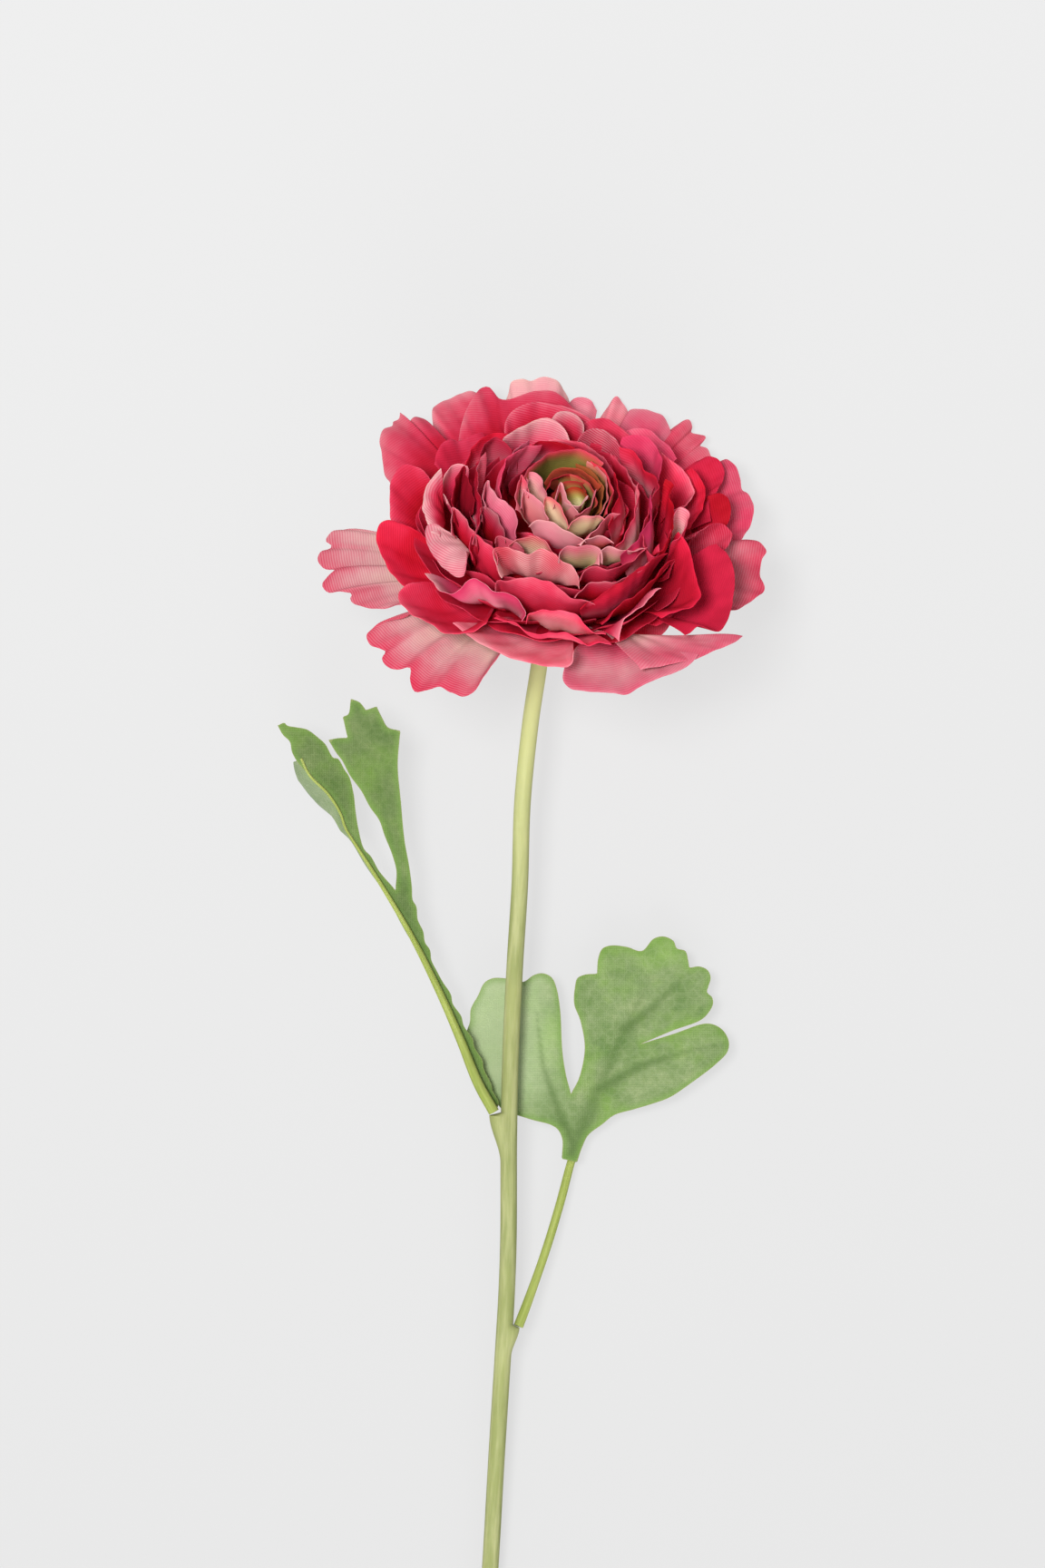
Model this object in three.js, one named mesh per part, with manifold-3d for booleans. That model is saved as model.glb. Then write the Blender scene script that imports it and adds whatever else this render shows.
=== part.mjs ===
// An artificial Persian buttercup: one fabric bloom on a wired plastic stem with two fabric leaves,
// lying on a surface. Millimetres. +Z is up, away from the surface, and +Y runs from the cut end of
// the stem to the bloom. The bloom faces up and away from the cut end. Outlines and rims are given as
// they look to an eye 1.5 m straight above the surface.
import * as THREE from "three";
import { mergeVertices } from "three/addons/utils/BufferGeometryUtils.js";
import Module from "manifold-3d";

const wasm = await Module();
wasm.setup();

// Driving dimensions
const GAP = 0.3; // between pieces that touch
const STEM_RADIUS = 1.85;
const WIRE_RADIUS = 0.55;
const STEM_STEPS = 32;
const PETAL_THICKNESS = 0.65;
const LEAF_THICKNESS = 0.7;
const BLOOM_TILT = 47.5; // degrees from straight up to the bloom's axis
const BLOOM_LEAN = 9; // degrees that the axis leans towards +X
const BLOOM_BASE = new THREE.Vector3(6.2, 44.8, 26.6); // where the petals meet the calyx
const ORIGIN = new THREE.Vector3(-0.3, -72.45, 0); // middle of the whole flower, on the surface
const EYE = 1500; // height of the eye
const EYE_PLANE = 20; // the height at which sizes look true

const rad = THREE.MathUtils.degToRad;
const vec = (x, y, z) => new THREE.Vector3(x, y, z);

// A point that looks to be at x, y from the eye, at its true place for its height.
function placed(x, y, z) {
  const k = (EYE - z) / (EYE - EYE_PLANE);
  return vec(x * k, y * k, z);
}

// A number from -1 to 1 that depends only on its seed.
function jitter(seed) {
  const s = Math.sin(seed * 12.9898) * 43758.5453;
  return 2 * (s - Math.floor(s)) - 1;
}

// Solids and meshes

function solidOf(geometry, weld = 1e-4) {
  const bare = new THREE.BufferGeometry().setAttribute(
    "position",
    (geometry.index ? geometry.toNonIndexed() : geometry).getAttribute("position"),
  );
  const merged = mergeVertices(bare, weld);
  return new wasm.Manifold(
    new wasm.Mesh({
      numProp: 3,
      vertProperties: merged.attributes.position.array,
      triVerts: new Uint32Array(merged.index.array),
    }),
  );
}

function geometryOf(solid) {
  const m = solid.getMesh();
  return new THREE.BufferGeometry()
    .setAttribute("position", new THREE.BufferAttribute(m.vertProperties, 3))
    .setIndex(new THREE.BufferAttribute(m.triVerts, 1));
}

const joined = (solids) => solids.reduce((a, b) => a.add(b));

// The largest body of a solid: a scrap that a cut leaves loose is dropped.
function largest(solid) {
  return solid.decompose().reduce((a, b) => (a.volume() > b.volume() ? a : b));
}

const SLIVER = 5e-3; // corners closer than this are one corner
function mesh(name, solid, color, roughness) {
  const material = new THREE.MeshStandardMaterial({ color, roughness, metalness: 0 });
  const made = new THREE.Mesh(geometryOf(largest(solidOf(geometryOf(solid), SLIVER))), material);
  made.name = name;
  return made;
}

function lathe(profile, sides = 24) {
  const points = profile.map(([r, z]) => new THREE.Vector2(r, z));
  return solidOf(new THREE.LatheGeometry(points, sides).rotateX(Math.PI / 2));
}

// A closed sheet between two faces that are split into triangles alike. triangles lists the corners of
// the upper face.
function sheet(mid, triangles, thickness) {
  const open = new THREE.BufferGeometry().setFromPoints(mid);
  open.setIndex(triangles.flat());
  open.computeVertexNormals();
  const normal = mid.map((_, i) => new THREE.Vector3().fromBufferAttribute(open.attributes.normal, i));
  const half = thickness / 2;
  const upper = mid.map((p, i) => p.clone().addScaledVector(normal[i], half));
  const lower = mid.map((p, i) => p.clone().addScaledVector(normal[i], -half));
  const count = mid.length;
  const faces = [];
  const edges = new Map();
  for (const [a, b, c] of triangles) {
    faces.push([a, b, c], [a + count, c + count, b + count]);
    for (const [p, q] of [[a, b], [b, c], [c, a]]) {
      if (edges.has(q + "_" + p)) edges.delete(q + "_" + p);
      else edges.set(p + "_" + q, [p, q]);
    }
  }
  for (const [p, q] of edges.values()) {
    faces.push([q, p, p + count], [q, p + count, q + count]);
  }
  const closed = new THREE.BufferGeometry().setFromPoints(upper.concat(lower));
  closed.setIndex(faces.flat());
  return solidOf(closed);
}

// A sheet through rows of points, all rows as long as each other.
function gridSheet(rows, thickness) {
  const across = rows[0].length;
  const triangles = [];
  for (let i = 0; i + 1 < rows.length; i++) {
    for (let j = 0; j + 1 < across; j++) {
      const a = i * across + j;
      const b = a + across;
      triangles.push([a, b, b + 1], [a, b + 1, a + 1]);
    }
  }
  return sheet(rows.flat(), triangles, thickness);
}

// A round rod along a curve, with a radius at each share of its length. Where crowd is more than 1 its
// steps are closer together at its start.
function rod(curve, radiusAt, steps, sides, crowd = 1) {
  const points = [];
  let normal = vec(1, 0.01, 0.02);
  for (let i = 0; i <= steps; i++) {
    const t = (i / steps) ** crowd;
    const centre = curve.getPointAt(t);
    const tangent = curve.getTangentAt(t);
    normal = normal.clone().addScaledVector(tangent, -normal.dot(tangent)).normalize();
    const binormal = tangent.clone().cross(normal);
    const r = radiusAt(t);
    for (let k = 0; k < sides; k++) {
      const turn = (2 * Math.PI * k) / sides;
      points.push(
        centre
          .clone()
          .addScaledVector(normal, r * Math.cos(turn))
          .addScaledVector(binormal, r * Math.sin(turn)),
      );
    }
  }
  const first = points.push(curve.getPointAt(0)) - 1;
  const last = points.push(curve.getPointAt(1)) - 1;
  const faces = [];
  for (let k = 0; k < sides; k++) {
    const next = (k + 1) % sides;
    for (let i = 0; i < steps; i++) {
      const a = i * sides;
      const b = a + sides;
      faces.push([a + k, a + next, b + next], [a + k, b + next, b + k]);
    }
    const end = steps * sides;
    faces.push([first, next, k], [last, end + k, end + next]);
  }
  const geometry = new THREE.BufferGeometry().setFromPoints(points);
  geometry.setIndex(faces.flat());
  return solidOf(geometry);
}

// The bloom's frame: +Z is its axis, and azimuth 0 is towards +X of the whole flower.

const bloomAxis = vec(
  Math.sin(rad(BLOOM_TILT)) * Math.sin(rad(BLOOM_LEAN)),
  Math.sin(rad(BLOOM_TILT)) * Math.cos(rad(BLOOM_LEAN)),
  Math.cos(rad(BLOOM_TILT)),
);
const bloomRight = vec(1, 0, 0).addScaledVector(bloomAxis, -bloomAxis.x).normalize();
const bloomBack = bloomAxis.clone().cross(bloomRight);
const bloomMatrix = new THREE.Matrix4()
  .makeBasis(bloomRight, bloomBack, bloomAxis)
  .setPosition(BLOOM_BASE);
const toBloom = bloomMatrix.clone().invert();

// The dome that the rims of the petals form: distance from the axis, and height.
const DOME = [
  [0, 27], [5, 29], [10, 29.5], [15, 28], [20, 26], [24, 24.5], [28, 23], [31, 20], [34, 16],
  [38, 11.5], [41, 10], [45, 7], [50, 3.5], [56, 1], [200, 1],
];

// The value at x on a line through [x, value] points.
function level(points, x) {
  const i = Math.max(1, points.findIndex((p) => p[0] >= x));
  const [[x0, y0], [x1, y1]] = [points[i - 1], points[i]];
  return y0 + ((y1 - y0) * (x - x0)) / (x1 - x0);
}

// The point of the dome, raised by lift, that the eye sees at x, y.
const HIGHEST = 75;
function onDome([x, y], lift) {
  let [low, high] = [0, HIGHEST];
  while (high - low > 1e-4) {
    const middle = (low + high) / 2;
    const p = placed(x, y, middle).applyMatrix4(toBloom);
    if (p.z > level(DOME, Math.hypot(p.x, p.y)) + lift) high = middle;
    else low = middle;
  }
  return placed(x, y, low).applyMatrix4(toBloom);
}

const above = ([x, y], height) => placed(x, y, height).applyMatrix4(toBloom);
const mean = (points) =>
  points.reduce((sum, p) => sum.add(p), vec(0, 0, 0)).divideScalar(points.length);

// Petals. Each is drawn by its rim. The rim lies on the dome, raised by lift, or at the given heights
// over the surface, spread evenly along it. The petal sweeps from its root, which is given by its
// distance from the axis and its height, to the rim, and swells outwards by bulge on the way.

const ROWS = [0, 0.5, 1]; // shares of the way from the root to the rim

function rimPoints({ rim, heights, lift = 0 }) {
  if (!heights) return rim.map((p) => onDome(p, lift));
  const steps = heights.map((h, i) => [i / (heights.length - 1 || 1), h]);
  return rim.map((p, i) => above(p, steps.length > 1 ? level(steps, i / (rim.length - 1)) : heights[0]));
}

function petal(drawn) {
  const { root, bulge = 4, spread = 4 } = drawn;
  const edge = rimPoints(drawn);
  const middle = mean(edge);
  const radial = vec(middle.x, middle.y, 0).normalize();
  const across = vec(-radial.y, radial.x, 0);
  const base = radial.clone().multiplyScalar(root[0]).setZ(root[1]);
  const reach = middle.clone().sub(base);
  const outwards = radial.clone().multiplyScalar(reach.z).setZ(-reach.dot(radial)).normalize();
  const way = Math.sign(edge.at(-1).clone().sub(edge[0]).dot(across)) || 1;
  const run = [0];
  for (let i = 1; i < edge.length; i++) run.push(run[i - 1] + edge[i].distanceTo(edge[i - 1]));
  const grid = ROWS.map((u) =>
    edge.map((tip, i) => {
      const v = (2 * run[i]) / run.at(-1) - 1;
      const foot = base.clone().addScaledVector(across, v * spread * way);
      const waist = foot.clone().lerp(tip, 0.55).addScaledVector(outwards, bulge * (1 - v * v));
      return new THREE.QuadraticBezierCurve3(foot, waist, tip).getPoint(u);
    }),
  );
  return gridSheet(grid, PETAL_THICKNESS);
}

const petalSolids = (petals, root) => petals.map((drawn) => petal({ root, ...drawn }));

const GUARD_ROOT = [8, 1.6];
const GUARDS = [
  {
    rim: [[-30.2, 55], [-35.2, 55.6], [-39.2, 56.2], [-42, 55.6], [-43.4, 53.4], [-42, 52.4],
      [-44.4, 51.2], [-45.2, 49.4], [-44, 47.6], [-41.4, 47.2], [-43, 45.6], [-44.2, 43.8],
      [-42.8, 42.4], [-39.2, 42.2], [-37.6, 41.8], [-38, 40.8], [-35.6, 39], [-32.2, 38.6],
      [-27.2, 39.2], [-24.2, 40]],
    heights: [30, 33, 36], bulge: -2, spread: 3,
  },
  {
    rim: [[-21.2, 38.4], [-27.2, 36.4], [-32.2, 35], [-34.4, 32.8], [-33.4, 30.4], [-30.2, 29.4],
      [-31, 27.4], [-29.2, 25.4], [-24.8, 25.4], [-24.8, 22.8], [-23.8, 20.6], [-21.6, 20.4],
      [-18.2, 21.4], [-15.8, 20.2], [-13.6, 19.2], [-11.2, 20], [-9, 22.8], [-7, 25.8], [-5, 28.4]],
    heights: [44, 50, 54], bulge: -3,
  },
  {
    rim: [[-15.4, 35.6], [-12.2, 32.8], [-3.2, 28], [2.8, 26.4], [10.6, 25.6]],
    heights: [55, 56, 57], bulge: 2, spread: 3,
  },
  {
    rim: [[10.6, 28.4], [9.2, 25.4], [9, 22.8], [10.6, 21], [23.2, 19.8], [33.8, 24.6], [38.8, 28.4]],
    heights: [54, 53, 50], bulge: 2, spread: 3,
  },
  { rim: [[26, 25.2], [38.4, 27.6], [48.6, 32.6]], heights: [54, 50, 45], bulge: 2, spread: 3 },
  {
    rim: [[46, 50.4], [48, 53], [50.4, 54], [52.6, 53], [53.8, 51], [52.4, 47.2], [53.4, 43.2],
      [49.2, 39.4], [42.8, 37.4]],
    heights: [24, 27, 34], bulge: 5, spread: 3,
  },
  {
    rim: [[31.8, 75.8], [33.2, 78.4], [35.2, 80], [36.8, 80.2], [37.2, 77.4], [40.4, 76.4],
      [39.2, 74.4], [40.8, 74], [42.4, 70]],
    heights: [0.2, 0.2, 6], bulge: 5, spread: 3,
  },
  {
    rim: [[42.8, 69.6], [44.6, 71.6], [46.8, 70.2], [48.4, 64.8], [50, 63.6], [51, 61.2], [50.6, 58],
      [47.2, 52]],
    heights: [7, 14, 22], bulge: 5, spread: 3,
  },
  {
    rim: [[9.6, 82.4], [10.8, 84.4], [13.2, 85.4], [15, 84.6], [16.4, 82.2]],
    heights: [2], bulge: 5, spread: 3,
  },
  { rim: [[16.8, 80.4], [20.8, 85.4], [23.6, 81.2]], heights: [2], bulge: 5, spread: 3 },
  {
    rim: [[22.4, 80.4], [23.6, 82.2], [26, 82.8], [28.8, 82], [31, 81], [33, 76.4]],
    heights: [3, 3, 5], bulge: 5, spread: 3,
  },
  {
    rim: [[-4.2, 82.8], [-2.4, 88.6], [3.6, 89.6], [7.6, 88.8], [10.4, 84]],
    heights: [0.2], bulge: 5, spread: 3,
  },
  {
    rim: [[-19.2, 71.8], [-19.8, 82.8], [-13.6, 86.2], [-9.8, 86]],
    heights: [7, 0.2, 0.2], bulge: 5, spread: 3,
  },
  {
    rim: [[-28.4, 64.8], [-30.2, 68], [-31.4, 76.4], [-30.6, 78.2], [-28.8, 78.8], [-27.2, 80.6],
      [-27, 81.8], [-24.8, 73.8]],
    heights: [20, 15, 12], bulge: 5, spread: 3,
  },
  {
    rim: [[-25.2, 70.8], [-25.6, 75.4], [-25, 79.6], [-23.4, 81], [-21.8, 80.6], [-20.2, 78.8],
      [-18.8, 70.8]],
    heights: [16, 11, 11], bulge: 5, spread: 3,
  },
];

const CRIMSON_ROOT = [20, 5.5];
const CRIMSON = [
  {
    rim: [[-14.2, 74.4], [-12.4, 82.4], [-9, 87.4], [-7.6, 87.6], [-5, 84.8], [4.8, 86.8],
      [7.4, 86.2], [11.6, 82.4]],
    heights: [14, 9, 9, 10], bulge: 2, spread: 5,
  },
  {
    rim: [[-4, 76.4], [-3.8, 79.8], [-2.2, 82.2], [3.8, 84.2], [10.8, 82.8], [16.8, 78.8]],
    heights: [17, 14, 14], root: [21, 6.8], bulge: 3, spread: 5,
  },
  {
    rim: [[-28.4, 54.4], [-29.2, 65.6], [-27.8, 69], [-25.8, 70.4], [-23.6, 70.2], [-20.2, 66.2],
      [-19.4, 62.4]],
    heights: [32, 29, 29], spread: 3,
  },
  {
    rim: [[-26, 56.8], [-28.8, 58.2], [-31.2, 57.6], [-32.2, 55.2], [-31.6, 51.6], [-25.8, 43.2],
      [-19.2, 41.8]],
    heights: [36, 39, 44], bulge: 5, spread: 3,
  },
  {
    rim: [[-22.8, 44.4], [-27.2, 42.4], [-27.2, 40.2], [-22.8, 36.6], [-16.6, 33.2], [-11.2, 33.6],
      [-8, 35.2]],
    heights: [49, 54, 57], bulge: 5, spread: 3,
  },
  {
    rim: [[-21.6, 46.4], [-17.8, 42.6], [-15.6, 41.8], [-10.6, 45.2], [-3, 41.8], [0.2, 39.2],
      [-0.2, 35.8]],
    lift: 1, root: [21, 6.8], spread: 5,
  },
  {
    rim: [[-6, 42.4], [-5.8, 44.4], [4.2, 45.2], [16, 39.4]],
    lift: 0.5, root: [21, 6.8], bulge: 5, spread: 6,
  },
  {
    rim: [[0.8, 35.2], [1.4, 37.4], [3.8, 38.4], [10.2, 38.2], [13.8, 34.8], [18.4, 32.8]],
    bulge: 6, spread: 6,
  },
  { rim: [[-6.2, 36.8], [1.6, 33.4], [9.2, 33.4], [14.4, 30.8], [19.6, 30.6]], bulge: 5, spread: 7 },
  { rim: [[21.2, 31.6], [23, 37], [30.6, 43]], bulge: 3, spread: 3 },
  { rim: [[12.8, 38.4], [32, 51]], root: [21, 6.8], spread: 6 },
  { rim: [[17.6, 34.8], [33.4, 49.8]], lift: -1, root: [21, 6.8], spread: 6 },
  {
    rim: [[42.8, 52.8], [46.4, 48], [46.8, 43.8], [45.4, 36.4], [44, 34.2], [39.2, 34.8], [35.8, 32.8]],
    heights: [36, 44, 50], spread: 5,
  },
  {
    rim: [[34.4, 55.6], [36.4, 52.8], [39.4, 41.2], [37.2, 39.2], [30.4, 36.8]],
    heights: [44, 49, 53], root: [21, 6.8], spread: 5,
  },
  {
    rim: [[38, 54.4], [42.4, 57.4], [44.6, 57], [46.2, 55.2], [43.8, 50.6], [40.8, 49.4]],
    heights: [34, 30, 38], bulge: 3, spread: 3,
  },
  {
    rim: [[22, 76.4], [27.4, 76.4], [29.4, 74.6], [30.6, 71.8], [29.6, 66.4]],
    heights: [22, 24, 33], root: [21, 6.8], bulge: 3, spread: 5,
  },
  {
    rim: [[29.2, 74.4], [34.8, 69.8], [37.8, 64.6], [37, 62.4], [32, 59.8]],
    heights: [19, 23, 37], spread: 5,
  },
  {
    rim: [[37.2, 69.8], [40.2, 65.2], [40.2, 62.4], [36.8, 56.4]],
    heights: [19, 24, 33], bulge: 3, spread: 5,
  },
  {
    rim: [[38.4, 71.2], [40.8, 72.2], [43, 71.6], [44.4, 69.4], [44.2, 66.8], [41.2, 62.4],
      [41.6, 57.8]],
    heights: [12, 15, 26], bulge: 3, spread: 5,
  },
  {
    rim: [[41.2, 63.2], [43.6, 64.2], [45.4, 62.8], [46, 59.8], [42.8, 54.8]],
    heights: [22, 24, 30], bulge: 3, spread: 5,
  },
  { rim: [[-19.6, 70.4], [-18, 74.8], [-8.8, 77.6]], heights: [25, 21, 18], bulge: 3, spread: 5 },
  { rim: [[13.6, 79.6], [18.4, 80.6], [24.8, 75.6]], heights: [15, 14, 16], bulge: 2, spread: 5 },
  { rim: [[22.8, 78], [28.4, 77.8], [34, 71.8]], heights: [12, 12, 16], bulge: 2, spread: 5 },
];

const RUFFLED_ROOT = [21, 11.5];
const RUFFLED = [
  {
    rim: [[-18, 69.6], [-21.4, 65], [-22, 62.2], [-20.4, 56], [-18.4, 54.4]],
    lift: -0.5, root: [21.5, 10], bulge: -2.5, spread: 3,
  },
  {
    rim: [[-19.2, 57.4], [-21, 57], [-20.6, 52], [-16.6, 47], [-14.2, 45.4], [-13, 46], [-12.6, 51.2]],
    lift: -0.5, root: [21.5, 10], bulge: -3, spread: 3,
  },
  {
    rim: [[-4.6, 45.2], [-6.6, 51.2], [-5.6, 52.4], [-1.2, 51.4], [3.6, 52], [10.6, 48.2],
      [12.6, 43.2]],
    root: [16, 13.5], bulge: 5, spread: 5,
  },
  {
    rim: [[-4.8, 72.8], [-4.2, 76.2], [3.2, 80.4], [8.2, 79.4], [10.8, 74.8]],
    heights: [26, 20, 22], spread: 5,
  },
  { rim: [[6.4, 80.4], [9.6, 82.2], [12, 81.2], [13.4, 79.4], [12.4, 74.8]], heights: [17, 17, 21] },
  { rim: [[11.6, 74.4], [14.8, 78.2], [17.4, 78.2], [23.2, 72.8]], heights: [22, 20, 26] },
  { rim: [[-9.4, 70.4], [-8, 75.4], [-6, 76.4], [-2.4, 73.6]], heights: [34, 29, 29] },
  { rim: [[-13.6, 66.8], [-10.8, 74.4], [-8.4, 76.6], [-3.2, 77.2]], heights: [34, 27, 22] },
  { rim: [[-16.8, 61.8], [-17.4, 67.6], [-16.2, 69.6], [-12.2, 70]], heights: [41, 37, 34] },
  { rim: [[-15.4, 54.8], [-15.2, 61.2], [-10.4, 55], [-10.4, 52.4]],  },
  {
    rim: [[-15.2, 57.8], [-15.4, 63.8], [-13, 70.2], [-10.8, 63.8], [-11, 59.8]],
    root: [20, 12], bulge: 3,
  },
  {
    rim: [[-11, 52.8], [-9, 60.8], [-10, 67.8], [-9.4, 71.8], [-8, 73.2]],
    lift: 0.3, root: [17, 13.5],
  },
  { rim: [[-11.2, 49.2], [-11, 55.2], [-7.2, 52.8], [-5.4, 47.2]],  },
  {
    rim: [[-8.4, 60.8], [-7.8, 67], [-5.2, 62.8], [-2, 60.4], [-1.6, 54.4]],
    lift: 0.3, root: [15.5, 14.5],
  },
  {
    rim: [[-5, 62.8], [-3.6, 71.2], [-1.2, 73.4], [4.2, 74.8]],
    heights: [50, 45, 38], root: [14, 15], bulge: 3,
  },
  {
    rim: [[4, 74.4], [6.2, 75.8], [12.8, 75.2], [15.8, 73.6], [20.4, 68.4]],
    heights: [31, 30, 38], root: [16, 14], bulge: 3, spread: 5,
  },
  {
    rim: [[-1.2, 72], [3.2, 75.2], [11.6, 74]],
    heights: [40, 35, 35], root: [13, 15], bulge: 3, spread: 5,
  },
  {
    rim: [[19.2, 72.8], [24.6, 66.2], [24.8, 59.6]],
    heights: [31, 38, 48], root: [17, 13.5], bulge: 3, spread: 5,
  },
  {
    rim: [[21.6, 74.4], [24.2, 73.4], [27.2, 68.8], [29.2, 68], [30, 65.8], [28, 59.6]],
    heights: [28, 33, 45], bulge: 3, spread: 5,
  },
  { rim: [[20, 68.8], [21, 63.2], [19.2, 57.2]], heights: [40, 46, 53], root: [13.5, 15.5], bulge: 3 },
  { rim: [[25.6, 66.4], [24.4, 58.8], [20.8, 52.4]], root: [17, 13.5], bulge: 3 },
  { rim: [[28, 63.8], [27.6, 57.4], [21.6, 50.4]], bulge: 3 },
  { rim: [[31.8, 67.2], [33, 66.2], [32.8, 55.8], [29.2, 50.4]], bulge: 3 },
  {
    rim: [[32.8, 54], [33.8, 60], [35.2, 61], [36.4, 60.2], [36.4, 57.4], [33.2, 53.6]],
    heights: [46, 41, 46], root: [21.5, 10], bulge: 2, spread: 3,
  },
  {
    rim: [[8, 48.8], [8.4, 51.2], [13.2, 52.6], [17.4, 51.2], [17.6, 48.4]],
    lift: 0.3, root: [13.5, 15.5],
  },
  {
    rim: [[12.4, 44.8], [14, 47.2], [22.8, 48.4], [27.6, 52]],
    lift: -0.3, root: [17, 13.5], spread: 5,
  },
  { rim: [[-3.2, 52.4], [1.8, 54.8], [4.2, 54], [7.6, 50.4]], root: [13.5, 15.5] },
  { rim: [[11.6, 40.8], [14.4, 44.2], [20.8, 44.8], [28, 48.8]], lift: -1, spread: 6 },
  { rim: [[30.4, 52.8], [29.2, 50], [27.2, 52], [26.4, 54.8], [28, 60.8]], lift: -1, spread: 5 },
];

const HEART_ROOT = [7.6, 18.5];
const HEART = [
  { rim: [[0, 68.4], [3.8, 72.4], [7.2, 73.8], [17.8, 69.2]], lift: 0.5, bulge: 2.5 },
  { rim: [[15.2, 71.2], [19.2, 67.2], [19.8, 65], [18.4, 59.6]], lift: 0.2, bulge: 2.5 },
  {
    rim: [[4.8, 66.4], [7.4, 69.4], [11, 69.8], [17.4, 65.6]],
    lift: -0.2, root: [6, 19], bulge: 2.5, spread: 3,
  },
  {
    rim: [[10.4, 68.4], [15.4, 65.2], [16.2, 61.2]],
    lift: -0.5, root: [5, 19], bulge: 2.5, spread: 2.5,
  },
  {
    rim: [[6.6, 63.6], [9.2, 66.6], [11.2, 66.8], [14.2, 64.4]],
    lift: -1.3, root: [4, 19], bulge: 2.5, spread: 2,
  },
  {
    rim: [[8, 62.8], [10.4, 65.4], [12.2, 65.4], [14.6, 62.8]],
    lift: -1.9, root: [3, 19], bulge: 2.5, spread: 1.5,
  },
  {
    rim: [[0.8, 63.8], [1.6, 68.8], [3.2, 68.4], [5.2, 63.8]],
    lift: -0.3, root: [6.5, 18.5], bulge: 3, spread: 3,
  },
  { rim: [[-0.4, 60.8], [0.4, 65.2], [4.6, 61.2], [5.6, 58.2]], lift: 0.2, bulge: 3, spread: 3 },
  {
    rim: [[4.6, 60.4], [5.2, 63.4], [6.4, 63], [8.6, 60.8], [10, 56.8]],
    lift: 0.3, root: [6, 18.5], bulge: 3, spread: 3,
  },
  { rim: [[10, 56.4], [11, 57.8], [14.8, 59.2], [18.2, 58.2]], lift: 0.2, bulge: 3, spread: 3 },
  { rim: [[1.4, 56.8], [3.6, 58.2], [5.6, 57.8], [14, 53.2]], lift: 0.2, bulge: 3, spread: 3 },
  { rim: [[14.4, 53.8], [18.6, 58.8], [21.4, 59.8]], bulge: 3, spread: 3 },
  { rim: [[12.8, 52.4], [16.2, 54.8], [20.2, 52.8]], bulge: 3 },
  { rim: [[6.8, 60.8], [8.6, 66.8], [12.4, 59.6]], lift: 0.2, root: [3.5, 18.5], bulge: 3, spread: 2 },
  {
    rim: [[9.2, 62.4], [12.4, 61.2], [14.4, 63.8]],
    lift: -0.7, root: [2.6, 18.5], bulge: 1.5, spread: 1.5,
  },
];

// Each colour of petals keeps to its own room. A border between two rooms rises from circles round the
// axis, given as [distance from the axis, height], to a closed line on the dome between the rims of
// both colours, drawn clockwise, and on towards the eye. The line's points are [x, y] on the dome or
// [x, y, height over the surface].
const PEG_RADIUS = 2.2;
const HUB_HOLE = PEG_RADIUS + 0.4;
const FAR = 70; // further than the bloom reaches
const BORDER_STEPS = 32;
const GUARD_BORDER = {
  circles: [[8, 3.4], [16, 3.4]],
  swell: 0.5,
  lift: -1.2,
  line: [
    [-17.4, 76.4, 10], [-15.4, 78, 9], [-13.8, 81.6, 8], [-12, 84.8, 7], [-8.2, 88.8, 5.5],
    [-4.4, 86.4, 5], [1.8, 87.6, 5], [7.8, 87.2, 5], [12.8, 83.6, 6], [17.6, 81.6, 7],
    [22.4, 79.4, 7], [28.8, 78.8, 7.5], [33.6, 75.2, 9], [35.8, 72.8, 10], [38.4, 72.2, 8],
    [40.8, 73.2, 9], [43.4, 73, 10.5], [45.6, 70.4, 12.5], [45.8, 66.8, 15], [47, 62.4, 20],
    [47.2, 57.2, 25], [47.2, 51.6, 31], [48.2, 43.6, 36], [46.6, 35.6, 40], [41.8, 32.2, 45],
    [35.2, 31.6, 48], [27.8, 30.8], [19.8, 29.2], [14.2, 29.4], [8.8, 31.8], [4.2, 31.4],
    [-0.8, 33.4], [-5.6, 34.2], [-10.8, 32, 55], [-17.2, 31.6, 53.5], [-23.6, 35, 51],
    [-28.6, 39.2, 47], [-30, 45.2, 38.5], [-33.4, 51.6, 36], [-32.8, 58.2, 33.5], [-30.6, 64.8, 26],
    [-27.6, 71, 22], [-23, 71.4, 20], [-19, 73.2, 15],
  ],
};
const CRIMSON_BORDER = {
  circles: [[12, 8.15], [22.6, 8.15]],
  swell: 2,
  lift: -1,
  line: [
    [-2.8, 80, 19], [0.4, 81.4, 18], [3.6, 82.4, 17], [6.4, 82.6, 15.5], [11.4, 82.6, 15.5],
    [14, 80.6, 17], [18.8, 79, 18], [21, 77.4, 20], [23.2, 75.4, 24], [27.6, 72.4, 27],
    [29, 69.8, 30], [31.2, 68.6, 30], [33.6, 67.4, 31], [35, 62.2, 38], [37, 61.2, 39], [37.4, 57.6],
    [36.2, 54.4], [34, 52.2], [29.6, 50.4], [24.4, 46.8], [18.2, 42.8], [12.4, 41.2], [6.6, 45],
    [0.8, 46.2], [-5.8, 45.2], [-11.6, 45.6], [-16, 44.4], [-20.6, 48.8], [-23.2, 54.8], [-23, 62.2],
    [-20.8, 68], [-17.6, 72, 28], [-14.6, 72.4, 26], [-12.8, 74.2, 24], [-11, 75.8, 22.5],
    [-8.6, 77.4, 22], [-5.6, 78.6, 20],
  ],
};
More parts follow.
